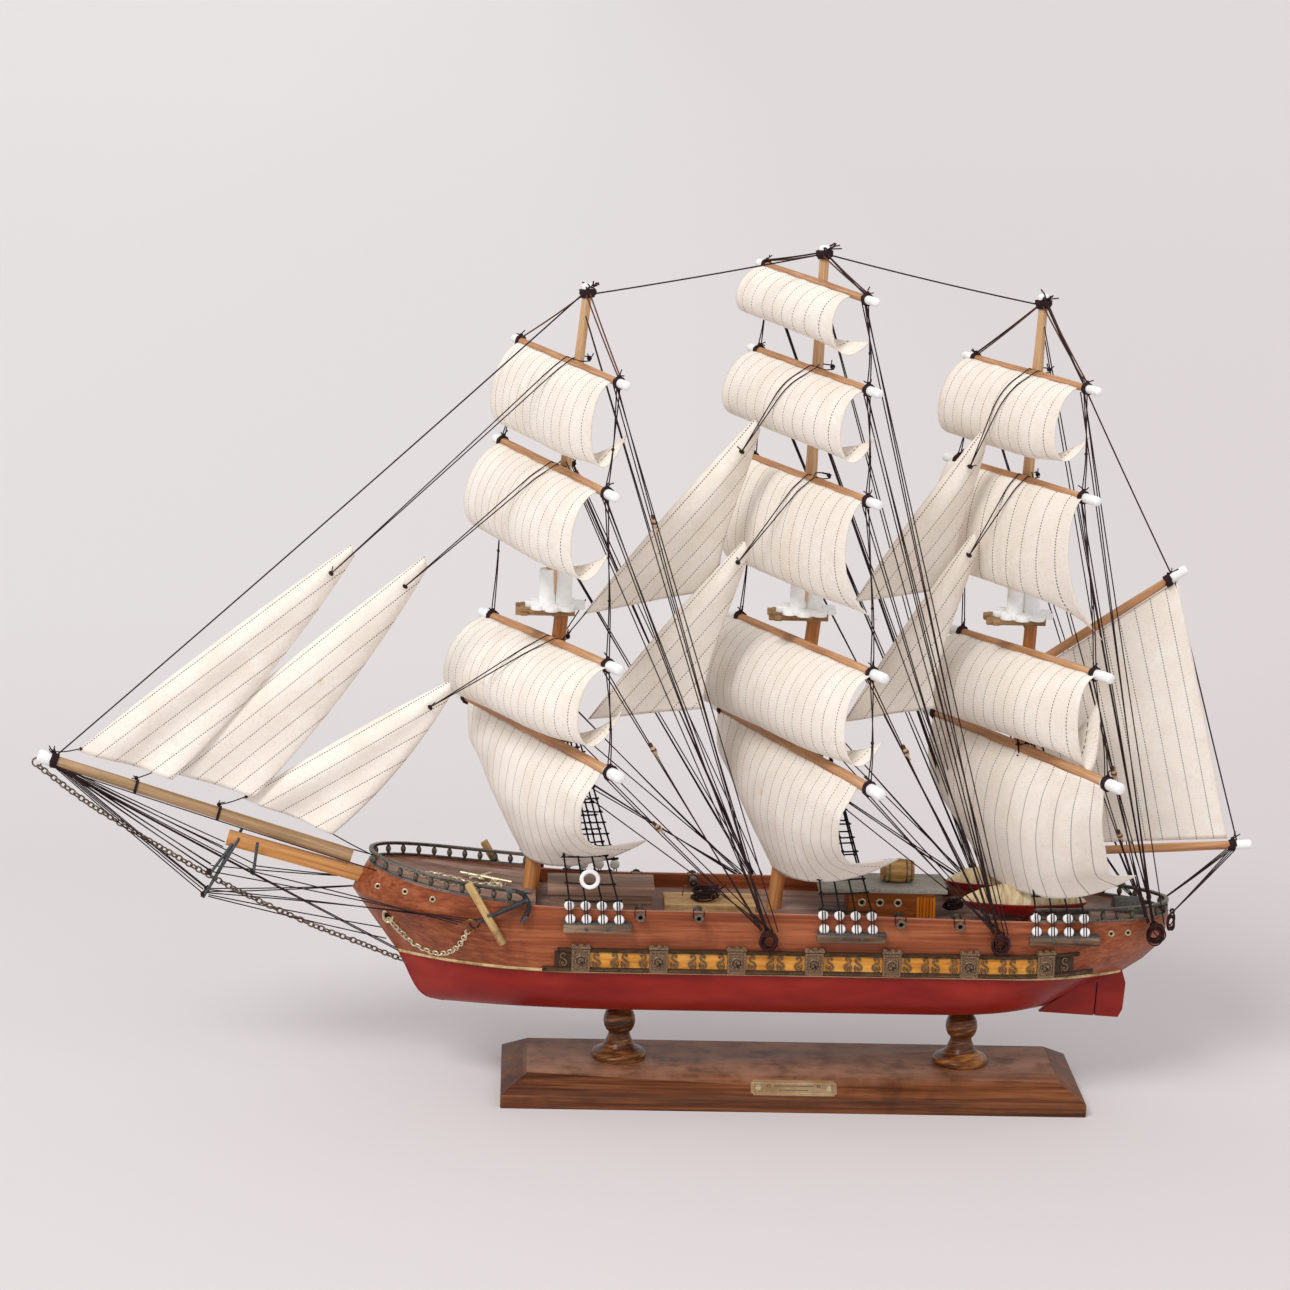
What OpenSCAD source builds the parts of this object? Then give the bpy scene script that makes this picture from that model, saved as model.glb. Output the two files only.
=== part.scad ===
// Three-masted model ship on a wooden stand.
// Millimetres. Origin: centre of the stand's underside.
// +X toward the stern, +Y to starboard, +Z up.

/* [Stand] */
// length of the wooden base
stand_length = 340; // [250:450]
// width of the wooden base
stand_width = 92; // [60:140]
// thickness of the wooden base
stand_height = 17; // [10:30]
// width of the sloped edge
bevel_width = 15; // [5:25]
// height of the square edge under the slope
bevel_base = 7.6;
// distance of each pedestal from the middle
pedestal_x = 101; // [60:140]

/* [Hull] */
// height of the flat hull bottom
keel_z = 52.5; // [40:70]
// half of the beam at the strake
half_beam = 42; // [30:55]
// thickness of the bulwark
bulwark = 3;
// depth of the waist deck under the gunwale
waist_depth = 9;
// aft end of the forecastle deck
forecastle_x = -152;
// forward end of the poop deck
poop_x = 134;
// height of the balustrades
rail_height = 8;

/* [Rig] */
// thread radius
thread_r = 0.45;
// heavy stay radius
stay_r = 0.6;
// cloth thickness
cloth = 0.6;
// white dipped tip length on the yards
tip_length = 14;

/* [Hidden] */

function lerp(a, b, t) = a + (b - a) * t;
function clamp01(t) = max(0, min(1, t));
function flip_y(p) = [p[0], -p[1], p[2]];

// ---- hull surface ----

// height of the seam between red bottom and mahogany side
function strake_z(x) =
    82.5 - 2 * pow(max(0, (-x - 150) / 82), 2) - 0.9 * pow(max(0, (x - 110) / 30), 2);

// height of the upper edge of the side
function sheer_z(x) =
    x < -100 ? 118.5 + 15.3 * pow((-x - 100) / 145, 2) : 118.5 - 0.00006 * pow(x + 100, 2);

// underside of the hull, a little deeper toward the forefoot
function keel_line(x) = keel_z - 2.6 * pow(clamp01((-x - 135) / 70), 1.5);

// ends and half breadth of a waterline on the red bottom, t = 0 keel to 1 strake
function low_fore(t) = lookup(t, [[0, -205], [0.06, -214], [0.2, -219.5], [0.45, -224], [0.7, -227.5], [1, -232]]);
function low_aft(t) = lookup(t, [[0, 142], [0.06, 147], [0.2, 156], [0.45, 169], [0.7, 181], [1, 194]]);
function low_half(t) = lookup(t, [[0, 18], [0.06, 26], [0.2, 34], [0.45, 39.5], [0.7, 41.5], [1, 42]]) * half_beam / 42;

// ends and half breadth of a line on the side, t = 0 strake to 1 sheer
function top_fore(t) = lookup(t, [[0, -232], [0.25, -241], [0.5, -251], [0.68, -258.5], [0.85, -254], [1, -249.5]]);
function top_aft(t) = lookup(t, [[0, 194], [0.25, 205.5], [0.5, 214.5], [0.68, 218], [1, 219.5]]);
function top_half(t) = lookup(t, [[0, 42], [0.4, 42], [1, 41]]) * half_beam / 42;

function low_breadth(x, t) =
    let (u = clamp01((x - low_fore(t)) / 112),
        w = clamp01((low_aft(t) - x) / 78))
    max(0.5, low_half(t) * (1 - pow(1 - u, 2.3)) * (1 - pow(1 - w, 2)));

function top_breadth(x, t, inset = 0) =
    let (u = clamp01((x - top_fore(t) - inset) / lerp(112, 100, t)),
        w = clamp01((top_aft(t) - inset - x) / lerp(78, 130, t)))
    max(0.5, (top_half(t) - inset)
        * pow(1 - pow(1 - u, 2.4), lerp(1, 0.5, t))
        * pow(1 - pow(1 - w, 2.1), lerp(1, 0.5, t)));

MID_X = [-155, -152, -120, -80, -40, 0, 40, 80, 110, 131, 134];
ENDS = 9;

// station positions of one waterline between its two ends
function stations(fore, aft) = concat(
    [for (i = [0:ENDS - 1]) fore + (MID_X[0] - fore) * (1 - cos(90 * i / ENDS))],
    MID_X,
    [for (i = [ENDS - 1:-1:0]) aft + (MID_X[10] - aft) * (1 - cos(90 * i / ENDS))]);

function both_sides(line) = concat(
    line,
    [for (i = [len(line) - 1:-1:0]) flip_y(line[i])]);

function low_ring(t) = both_sides([for (x = stations(low_fore(t), low_aft(t)))
    [x, -low_breadth(x, t), lerp(keel_line(x), strake_z(x), t)]]);

function top_ring(t) = both_sides([for (x = stations(top_fore(t), top_aft(t)))
    [x, -top_breadth(x, t), lerp(strake_z(x), sheer_z(x), t)]]);

function deck_drop(x) = x < forecastle_x ? 1.5 : (x < poop_x ? waist_depth : 1.5);

function inner_ring(drop) = both_sides([for (x = stations(top_fore(1) + bulwark, top_aft(1) - bulwark))
    [x, -top_breadth(x, 1, bulwark), sheer_z(x) - drop * deck_drop(x)]]);

// closed solid through a stack of equal rings, each face wound outward
module ring_loft(rings) {
    n = len(rings[0]);
    m = len(rings);
    points = [for (ring = rings) for (p = ring) p];
    sides = [for (j = [0:m - 2]) for (i = [0:n - 1])
        let (a = j * n + i, b = j * n + (i + 1) % n, c = b + n, d = a + n)
        each [[a, c, b], [a, d, c]]];
    half = n / 2;
    bottom = [for (i = [0:half - 2]) each [[i, i + 1, n - 1 - i], [i + 1, n - 2 - i, n - 1 - i]]];
    e = (m - 1) * n;
    top = [for (i = [0:half - 2])
        each [[e + i, e + n - 1 - i, e + i + 1], [e + i + 1, e + n - 1 - i, e + n - 2 - i]]];
    polyhedron(points, concat(sides, bottom, top));
}

// bar of rectangular section that follows a list of points
module path_bar(path, wide, high, lift = 0) {
    n = len(path);
    points = [for (i = [0:n - 1])
        let (a = path[max(0, i - 1)], b = path[min(n - 1, i + 1)],
            d = [b[0] - a[0], b[1] - a[1]], s = wide / 2 / norm(d),
            ox = -d[1] * s, oy = d[0] * s)
        each [
            [path[i][0] - ox, path[i][1] - oy, path[i][2] + lift],
            [path[i][0] + ox, path[i][1] + oy, path[i][2] + lift],
            [path[i][0] + ox, path[i][1] + oy, path[i][2] + lift + high],
            [path[i][0] - ox, path[i][1] - oy, path[i][2] + lift + high]
        ]];
    sides = [for (i = [0:n - 2]) for (k = [0:3])
        let (a = i * 4 + k, b = i * 4 + (k + 1) % 4)
        each [[a, a + 4, b], [b, a + 4, b + 4]]];
    e = (n - 1) * 4;
    polyhedron(points, concat(sides, [[0, 1, 2], [0, 2, 3], [e, e + 2, e + 1], [e, e + 3, e + 2]]));
}

// ---- small shapes ----

// round bar between two points, with its own radius at each end
module rod(p, q, r1, r2 = -1) {
    d = q - p;
    translate(p)
        rotate([0, acos(d[2] / norm(d)), atan2(d[1], d[0])])
            cylinder(h = norm(d), r1 = r1, r2 = r2 < 0 ? r1 : r2, $fn = 24);
}

// square bar between two points
module batten(p, q, wide, deep) {
    d = q - p;
    translate(p)
        rotate([0, acos(d[2] / norm(d)), atan2(d[1], d[0])])
            translate([-deep / 2, -wide / 2, 0])
                cube([deep, wide, norm(d)]);
}

module ring(radius, wire) {
    rotate_extrude($fn = 32)
        translate([radius, 0])
            circle(r = wire, $fn = 16);
}

// ring standing upright, facing the side
module eye(p, radius, wire) {
    translate(p)
        rotate([90, 0, 0])
            ring(radius, wire);
}

// hanging chain between two points with a sag in its middle
module chain(p, q, sag, links, wire) {
    d = q - p;
    pitch = norm(d) / links;
    for (i = [0:links - 1]) {
        t = (i + 0.5) / links;
        translate(p + d * t - [0, 0, sag * 4 * t * (1 - t)])
            rotate([0, acos(d[2] / norm(d)), atan2(d[1], d[0])])
                rotate([i % 2 == 0 ? 90 : 0, i % 2 == 0 ? 0 : 90, 0])
                    ring(pitch / 2 + wire * 1.15, wire);
    }
}

// turned post with a ball on top
module pedestal(x) {
    translate([x, 0, stand_height])
        rotate_extrude($fn = 48)
            polygon([
                [0, 0], [15.5, 0], [16, 1], [16, 3], [15, 4.2], [12.5, 5.2], [10, 7],
                [8.3, 9.5], [7, 12.5], [6.3, 14.5], [6.3, 16], [7.8, 17.3], [8.9, 19.5],
                [9.4, 22.3], [9.1, 25.2], [8.2, 27.8], [6.5, 30], [4, 31.8],
                [4, keel_z - stand_height], [0, keel_z - stand_height]
            ]);
}

// ---- stand ----

module stand_base() {
    color("#6b4632")
        intersection() {
            rotate([90, 0, 90])
                linear_extrude(stand_length, center = true)
                    bevel_outline(stand_width);
            rotate([90, 0, 0])
                linear_extrude(stand_width, center = true)
                    bevel_outline(stand_length);
        }
}

module bevel_outline(wide) {
    h = wide / 2;
    polygon([
        [-h, 0], [h, 0], [h, bevel_base], [h - bevel_width, stand_height],
        [-h + bevel_width, stand_height], [-h, bevel_base]
    ]);
}

module fore_pedestal() {
    color("#4f3020") pedestal(-pedestal_x);
}

module aft_pedestal() {
    color("#4f3020") pedestal(pedestal_x);
}

// places its children flat on the port slope of the stand
module on_slope() {
    slope = atan2(stand_height - bevel_base, bevel_width);
    translate([0, -stand_width / 2 + bevel_width / 2, (stand_height + bevel_base) / 2])
        rotate([slope, 0, 0])
            children();
}

module name_plate() {
    color("#b59a5a")
        on_slope()
            linear_extrude(0.6)
                difference() {
                    square([50, 11.5], center = true);
                    for (sx = [-1, 1], sy = [-1, 1])
                        translate([sx * 25, sy * 5.75])
                            circle(r = 1.6, $fn = 24);
                }
}

module plate_screws() {
    color("#9a8348")
        on_slope()
            for (s = [-1, 1])
                translate([s * 20.5, 0, 0.4])
                    difference() {
                        cylinder(h = 1, r1 = 1.9, r2 = 1.3, $fn = 24);
                        translate([-2, -0.25, 0.7])
                            cube([4, 0.5, 1]);
                    }
}

// ---- hull ----

module hull_bottom() {
    color("#8e2e2a")
        ring_loft([for (t = [0, 0.06, 0.2, 0.45, 0.7, 1]) low_ring(t)]);
}

module hull_topsides() {
    color("#8a4a2c")
        difference() {
            ring_loft(concat(
                [for (t = [0, 0.25, 0.5, 0.68, 0.85, 1]) top_ring(t)],
                [inner_ring(0), inner_ring(1)]));
            for (x = GUN_X, side = [-1, 1])
                translate([x, side * 40, sheer_z(x) - 2.4])
                    gun_slot();
        }
}

GUN_X = [-92, -58.5, 57.5, 91.5];

// open-topped slot through the bulwark
module gun_slot() {
    rotate([90, 0, 0])
        cylinder(h = 14, r = 3.3, center = true, $fn = 16);
    translate([-3.3, -7, 0])
        cube([6.6, 14, 8]);
}

function deck_line(from, to, lift) = both_sides([for (i = [0:12])
    let (x = lerp(from, to, i / 12))
    [x, -top_breadth(x, 1, bulwark + 0.4), sheer_z(x) - deck_drop((from + to) / 2) + lift]]);

module decks() {
    color("#8d7467") {
        ring_loft([deck_line(-245, forecastle_x, 0), deck_line(-245, forecastle_x, 0.8)]);
        ring_loft([deck_line(forecastle_x + 1, poop_x - 4, 0), deck_line(forecastle_x + 1, poop_x - 4, 0.8)]);
        ring_loft([deck_line(poop_x, 215, 0), deck_line(poop_x, 215, 0.8)]);
    }
}

module waterline_strip() {
    color("#c9b083")
        for (side = [-1, 1])
            path_bar([for (i = [0:32])
                let (x = lerp(-231, 192, (1 - cos(180 * i / 32)) / 2))
                [x, side * (top_breadth(x, 0) + 0.1), strake_z(x)]], 1.4, 1.8, -0.9);
}

module rudder_board() {
    color("#8e2e2a")
        translate([0, 1.8, 0])
            rotate([90, 0, 0])
                linear_extrude(3.6)
                    difference() {
                        polygon([
                            [146, 49.5], [193, 47], [195.5, 52], [196.5, 68], [194, 76],
                            [183, 76], [150, 53]
                        ]);
                        polygon([[178.3, 46], [179.1, 46], [180.1, 68], [179.3, 68]]);
                    }
}

// ---- frieze along each side ----

BAY = 44.7;
PANEL_X = [for (i = [0:6]) -125.5 + BAY * i];

function side_y(x) = top_breadth(x, 0.25) + 0.4;

module scroll_bay(length) {
    linear_extrude(1.9) {
        translate([0, -6.9])
            square([length, 2.6]);
        translate([0, 4.6])
            square([length, 2]);
        if (length > 20)
            for (k = [0.2, 0.4, 0.6, 0.8])
                translate([length * k, -0.6])
                    difference() {
                        circle(r = 3, $fn = 24);
                        circle(r = 1.9, $fn = 24);
                    }
        for (x = [1.2, length / 2 - 0.5, length - 2.2])
            translate([x, -5])
                square([1, 10]);
    }
    translate([0, -4.6, 0])
        cube([length, 9.6, 1]);
}

module rosette_panel() {
    translate([-5.5, -6.9, 0])
        cube([11, 14.2, 2.4]);
    translate([0, 0, 2.2])
        cylinder(h = 1.1, r = 3.8, $fn = 24);
    translate([0, 0, 3])
        cylinder(h = 1, r = 1.6, $fn = 24);
}

module frieze_side() {
    edges = concat([-145], PANEL_X, [165]);
    for (i = [0:7]) {
        a = edges[i] + 5.8;
        b = edges[i + 1] - 5.8;
        turn = atan2(side_y(a) - side_y(b), b - a);
        translate([a, -side_y(a), 89.6])
            rotate([90, 0, turn])
                scroll_bay(norm([b - a, side_y(b) - side_y(a)]));
    }
    for (x = PANEL_X) {
        turn = atan2(side_y(x - 3) - side_y(x + 3), 6);
        translate([x, -side_y(x) - 0.2, 89.6])
            rotate([90, 0, turn])
                rosette_panel();
    }
}

module gallery_frieze() {
    color("#5a4c40") {
        frieze_side();
        mirror([0, 1, 0]) frieze_side();
    }
}

// ---- balustrades ----

function rail_point(x, side) = [x, side * top_breadth(x, 1, 1.6), sheer_z(x)];

BOW_X = [for (i = [0:12]) lerp(forecastle_x - 2, -247.8, sin(90 * i / 12))];
STERN_X = [for (i = [0:12]) lerp(poop_x + 1, 217.8, sin(90 * i / 12))];
BOW_PATH = concat([for (x = BOW_X) rail_point(x, -1)], [for (i = [12:-1:0]) rail_point(BOW_X[i], 1)]);
STERN_PATH = concat([for (x = STERN_X) rail_point(x, -1)], [for (i = [12:-1:0]) rail_point(STERN_X[i], 1)]);

module baluster(p) {
    translate(p)
        rotate_extrude($fn = 20)
            polygon([
                [0, 0.5], [1.1, 0.5], [0.8, 1.6], [1.3, 2.4], [1.6, 3.4], [1.5, 4.6],
                [1, 5.6], [0.7, 6], [1.2, rail_height - 1.2], [0, rail_height - 1.2]
            ]);
}

module bow_rail() {
    color("#5a4c40") {
        path_bar(BOW_PATH, 2.6, 1.2);
        path_bar(BOW_PATH, 2.4, 1.6, rail_height - 1.6);
        for (side = [-1, 1]) {
            for (i = [0:8])
                baluster(rail_point(-158 - 9 * i, side));
            baluster(rail_point(-238.5, side));
            baluster(rail_point(-245.5, side));
        }
    }
}

module stern_rail() {
    color("#5a4c40") {
        path_bar(STERN_PATH, 2.6, 1.2);
        path_bar(STERN_PATH, 2.4, 1.6, rail_height - 1.6);
        for (side = [-1, 1])
            for (x = [140, 149, 158, 167, 176, 185, 194, 202.5, 210, 215.5])
                baluster(rail_point(x, side));
    }
}

// ---- head of the ship ----

BOOM_HEEL = [-259, 0, 136.6];
BOOM_TIP = [-436, 0, 192];

module bowsprit() {
    color("#b57a45")
        batten([-331, 0, 146.5], [-238, 0, 121.5], 8.5, 7.5);
}

module jibboom() {
    color("#b99a6b")
        rod(BOOM_HEEL, BOOM_TIP, 4.1, 3);
}

module martingale_pins() {
    color("#2b2326") {
        rod([-323.4, -11, 148.8], [-345, 0, 110], 0.9);
        rod([-323.4, 11, 148.8], [-343, 1, 113], 0.9);
        rod([-327.4, -9, 145], [-341, -6, 125.3], 0.9);
        rod([-313, -9, 146], [-315.6, -6, 125.8], 0.9);
    }
}

// ---- deck fittings ----

DECK_Z = 110.2;

module hatch_block() {
    color("#94765f") {
        translate([-143.5, -14, DECK_Z - 1])
            cube([59, 28, 10.5]);
        translate([-145, -15.5, DECK_Z + 9.5])
            cube([62, 31, 4.5]);
    }
}

module plank_stack() {
    color("#c9a97c")
        for (i = [0:3])
            translate([-77, -15 + 6.4 * i, DECK_Z - 1])
                cube([53, 5.8, 6.2]);
}

module deckhouse() {
    color("#a8562a")
        difference() {
            translate([30, -14, DECK_Z - 3])
                cube([50, 28, 17.5]);
            for (x = [37.5, 48, 58.5])
                translate([x, -13, DECK_Z + 8])
                    rotate([90, 0, 0])
                        cylinder(h = 3, r = 1.6, $fn = 24);
        }
}

module deckhouse_roof() {
    color("#7d7a72")
        translate([12, -17, DECK_Z + 14.5])
            cube([75, 34, 2.4]);
}

module barrel() {
    color("#b98d57")
        translate([49.5, 0, DECK_Z + 23.6])
            rotate([0, 90, 0])
                rotate_extrude($fn = 36)
                    polygon([
                        [0, 1], [5.2, 1], [5.2, 0], [5.7, 0], [6.3, 3], [6.6, 4.5], [7, 7],
                        [7.1, 9.5], [7, 12], [6.6, 14.5], [6.3, 16], [5.7, 19], [5.2, 19],
                        [5.2, 18], [0, 18]
                    ]);
}

// quarter outline of a boat, from bow to stern
function boat_outline(scale_r) = concat(
    [[0, 0]],
    [for (i = [0:16]) [9.6 * scale_r * pow(sin(180 * i / 16), 0.62) + 0.01, 73 * i / 16]],
    [[0, 73]]);

module half_boat(p, upper) {
    translate(p)
        rotate([0, 90, 0])
            rotate([0, 0, upper ? 90 : -90])
                rotate_extrude(angle = 180, $fn = 40)
                    polygon(boat_outline(upper ? 0.96 : 1));
}

BOATS = [[95, -17.5, 121.5], [90, 17.5, 123]];

module boat_hulls() {
    color("#8b1e1b")
        for (p = BOATS)
            half_boat(p, false);
}

module boat_covers() {
    color("#cdbb93")
        for (p = BOATS)
            half_boat(p, true);
}

module cannons() {
    color("#2d3338")
        for (x = GUN_X, side = [-1, 1])
            translate([x, side * (top_breadth(x, 1) - 16), sheer_z(x) - 2.4])
                rotate([-side * 90, 0, 0])
                    rotate_extrude($fn = 28)
                        polygon([
                            [0, 0], [0.6, 0], [1, 0.6], [1, 1.6], [2.2, 2], [2.8, 3],
                            [2.4, 11], [2.6, 11.4], [2.6, 12.6], [2.2, 13], [2, 18.4],
                            [2.6, 19.2], [2.8, 20.2], [2.6, 21], [1.3, 21], [1.3, 17], [0, 17]
                        ]);
}

module companion_hood() {
    color("#8f8b80")
        translate([187, 0, sheer_z(190) - 1.5])
            rotate([0, 90, 0])
                difference() {
                    cylinder(h = 16, r = 8.5, $fn = 40);
                    translate([0, -10, -1])
                        cube([20, 20, 20]);
                    translate([0, 0, 13.5])
                        cylinder(h = 3, r = 6.8, $fn = 40);
                }
}

// ---- side fittings ----

// first x, length, underside height of each channel board
CHANNELS = [[-136, 39, 106.6], [9.5, 39.5, 103.4], [132.5, 40.5, 102.6]];

function channel_y(c) = top_breadth(c[0] + c[1] / 2, 0.8);

module channel_boards() {
    color("#8b7d6b")
        for (c = CHANNELS, side = [-1, 1])
            translate([c[0], side < 0 ? -channel_y(c) - 5.6 : channel_y(c) - 2.4, c[2]])
                cube([c[1], 8, 5]);
}

function dead_x(c, i) = c[0] + 4 + 9.3 * i;
function dead_y(c) = channel_y(c) + 3.4;

module deadeyes() {
    color("#f2f2f2")
        for (c = CHANNELS, side = [-1, 1], i = [0:3]) {
            translate([dead_x(c, i), side * dead_y(c), c[2] + 7.6])
                sphere(r = 2.9, $fn = 20);
            translate([dead_x(c, i) - 0.8, side * (dead_y(c) - 1.6), c[2] + 15.4])
                sphere(r = 2.9, $fn = 20);
        }
}

// rope ladder in its own plane, narrowing to the top
module ladder_outline(wide, tall, shift, rows) {
    difference() {
        ladder_quad(wide, tall, shift, 0, 1, 0, 1);
        for (j = [0:rows - 1], i = [0:2])
            ladder_quad(wide, tall, shift, (i + 0.035) / 3, (i + 0.965) / 3,
                (j + 0.1) / rows, (j + 0.97) / rows);
    }
}

module ladder_quad(wide, tall, shift, u0, u1, v0, v1) {
    polygon([for (c = [[u0, v0], [u1, v0], [u1, v1], [u0, v1]])
        [lerp(wide * c[0], shift + 7 * c[0], c[1]), tall * c[1]]]);
}

TOP_X = [-148, -3, 122];

module shrouds() {
    color("#1d191b")
        for (k = [0:2], side = [-1, 1]) {
            c = CHANNELS[k];
            foot = [dead_x(c, 0) - 0.8, dead_y(c) - 1.8, c[2] + 18];
            rise = 262 - foot[2];
            run = foot[1] - 6;
            translate([foot[0], side * foot[1], foot[2]])
                rotate([90 + side * atan2(run, rise), 0, 0])
                    translate([0, 0, -0.4])
                        linear_extrude(0.8)
                            ladder_outline(27.9, norm([rise, run]), TOP_X[k] - foot[0] - 3, 16);
        }
}

// anchor lying in the plane of the side, shank from the ring to the crown
module anchor_iron() {
    rod([2, 0, 0], [33.6, 0, 0], 1.3, 1.6);
    translate([23.5, 0, 0])
        rotate([90, 0, 0])
            rotate([0, 0, -66])
                rotate_extrude(angle = 132, $fn = 40)
                    translate([9.6, 0])
                        circle(r = 1.3, $fn = 16);
    for (s = [-1, 1])
        translate([23.5 + 9.6 * cos(66), 0, s * 9.6 * sin(66)])
            rotate([0, s * 28, 0])
                translate([-3.4, -2.6, -0.7])
                    cube([5.4, 5.2, 1.4]);
    rotate([90, 0, 0])
        ring(2.6, 0.6);
}

function anchor_y() = top_breadth(-175, 1) + 4.5;

module at_anchor(side) {
    translate([side < 0 ? -186.5 : -179, side * anchor_y(), 110.5])
        rotate([0, -26, 0])
            children();
}

module anchors() {
    color("#2d3338")
        for (side = [-1, 1])
            at_anchor(side) anchor_iron();
}

module anchor_stocks() {
    color("#b08a55")
        for (side = [-1, 1])
            at_anchor(side)
                translate([7.5, -2, -18])
                    rotate([0, -4, 0])
                        cube([4.2, 4, 41]);
}

module anchor_chains() {
    color("#c6a45a") {
        for (side = [-1, 1]) {
            chain([-236.5, side * 14, 106], [-211, side * 29, 83.5], 1.5, 11, 0.5);
            chain([-208.5, side * 30.5, 83.5], [side < 0 ? -188.5 : -181, side * 42.5, 107.5], 3, 11, 0.5);
        }
        for (i = [0:8])
            translate([-218 + 6.4 * i, -11 + 8 * sin(i * 67), sheer_z(-218 + 6.4 * i) + 0.2])
                ring(2.4, 0.6);
    }
}

module bobstay_chain() {
    color("#3b352f") {
        chain([-439, 0, 188], [-374, 0, 143.3], 1, 14, 0.6);
        chain([-373, 0, 142.6], [-284, 0, 96.5], 1, 19, 0.6);
        chain([-283, 0, 96], [-228, 0, 72], 1, 11, 0.6);
    }
}

module eyelets() {
    color("#b8924a")
        for (side = [-1, 1]) {
            for (e = [[181.5, 106.5], [192, 106], [-243, 124], [-227, 124], [-211, 121.5]]) {
                t = (e[1] - strake_z(e[0])) / (sheer_z(e[0]) - strake_z(e[0]));
                eye([e[0], side * (top_breadth(e[0], t) + 0.4), e[1]], 1.4, 0.55);
            }
            eye([-237, side * (top_breadth(-237, 0.5) + 0.4), 106], 2.6, 0.7);
            for (x = [37.5, 48, 58.5])
                eye([x, side * 14.2, DECK_Z + 8], 1.7, 0.5);
        }
}

module life_ring() {
    color("#f2f2f2")
        eye([-121.5, -46.6, 138.5], 4.7, 1.2);
}

// ---- masts and yards ----

module lower_masts() {
    color("#b9793f") {
        rod([-156, 0, 108], [-139.8, 0, 292], 4.4, 3.9);
        rod([-12.8, 0, 108], [5.6, 0, 292], 4.4, 3.9);
        rod([123, 0, 110], [130.2, 0, 292], 4.4, 3.9);
    }
}

module topmasts() {
    color("#c79a66") {
        rod([-147.6, 0, 294], [-130.2, 0, 467], 3.7, 2.8);
        rod([-2, 0, 294], [2.5, 0, 492], 3.7, 2.8);
        rod([120.8, 0, 294], [127.4, 0, 467], 3.7, 2.8);
    }
}

// scalloped platform with two sleeves that join lower mast and topmast
module mast_top(x) {
    translate([x + 3, 0, 287])
        linear_extrude(2.6)
            union() {
                circle(r = 13.5, $fn = 40);
                for (a = [20:40:340])
                    translate([13.5 * cos(a), 13.5 * sin(a)])
                        circle(r = 4, $fn = 20);
            }
    translate([x - 1.8, 0, 289])
        cylinder(h = 20, r = 4.9, $fn = 32);
    translate([x + 7.4, 0, 289])
        cylinder(h = 21.5, r = 4.9, $fn = 32);
}

module mast_tops() {
    color("#f2f2f2")
        for (x = TOP_X)
            mast_top(x == -148 ? -147 : x);
}

module crosstrees() {
    color("#9a7a50")
        for (x = TOP_X)
            for (s = [-1, 1]) {
                translate([x - 19, s * 7 - 2, 283.4])
                    cube([34, 4, 3.8]);
                translate([x - 7 + s * 9, -13, 283.8])
                    cube([4, 26, 3]);
            }
}

// mast, x where it crosses the mast, height, half length, brace angle, radius,
// how far its middle lies toward starboard
YARDS = [
    ["fore", -154.5, 212.5, 110.5, 25, 3.2, -2],
    ["fore", -150, 268, 84.5, 28, 3, -5],
    ["fore", -147.3, 368, 103, 19.2, 2.7, 0],
    ["fore", -140, 428.5, 98, 18.6, 2.4, 0],
    ["main", -11.8, 210.7, 112.5, 21.2, 3.2, -17],
    ["main", -5, 269.3, 93, 24.6, 3, -9],
    ["main", -7.6, 366.5, 87, 21.9, 2.6, -14],
    ["main", -5.4, 428, 93.5, 18.7, 2.5, -8.5],
    ["main", -3.8, 477.3, 95, 16.1, 2.3, -4.5],
    ["mizzen", 119.2, 212.4, 103, 25.6, 3.2, -13],
    ["mizzen", 121.3, 267.6, 75, 31.1, 2.9, -11],
    ["mizzen", 116.5, 367.9, 79, 25.8, 2.6, -4],
    ["mizzen", 119.7, 428.5, 75, 22.9, 2.3, -4]
];

// point on a yard: s from its middle toward starboard, f ahead of it, h above it
function yard_at(y, s, f = 0, h = 0) = [
    y[1] - (s + y[6]) * sin(y[4]) - f * cos(y[4]),
    (s + y[6]) * cos(y[4]) - f * sin(y[4]),
    y[2] + h
];

module yards(mast) {
    color("#c08a55")
        for (y = YARDS)
            if (y[0] == mast)
                rod(yard_at(y, -y[3] + 1), yard_at(y, y[3] - 1), y[5]);
}

module fore_yards() {
    yards("fore");
}

module main_yards() {
    yards("main");
}

module mizzen_yards() {
    yards("mizzen");
}

GAFF = [[131.5, 0, 257.5], [215.5, 0, 315.3]];
BOOM = [[127, 0, 145.5], [264, 0, 153.6]];

module spanker_spars() {
    color("#c08a55") {
        rod(GAFF[0], GAFF[1], 2.6);
        rod(BOOM[0], BOOM[1], 2.6);
    }
}

module white_tips() {
    color("#f2f2f2") {
        for (y = YARDS, s = [-1, 1])
            rod(yard_at(y, s * (y[3] - tip_length)), yard_at(y, s * y[3]), y[5] + 0.35);
        for (p = [[-130.2, 466.5], [2.5, 491], [127.4, 466.5]])
            translate([p[0], 0, p[1]])
                cylinder(h = 6.5, r = 3.3, $fn = 28);
        rod([-432, 0, 190.7], [-440, 0, 193.3], 4);
        rod([209, 0, 310.8], [218, 0, 317], 3);
        rod([256, 0, 153.1], [266, 0, 153.7], 3);
    }
}

// ---- square sails ----

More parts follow.
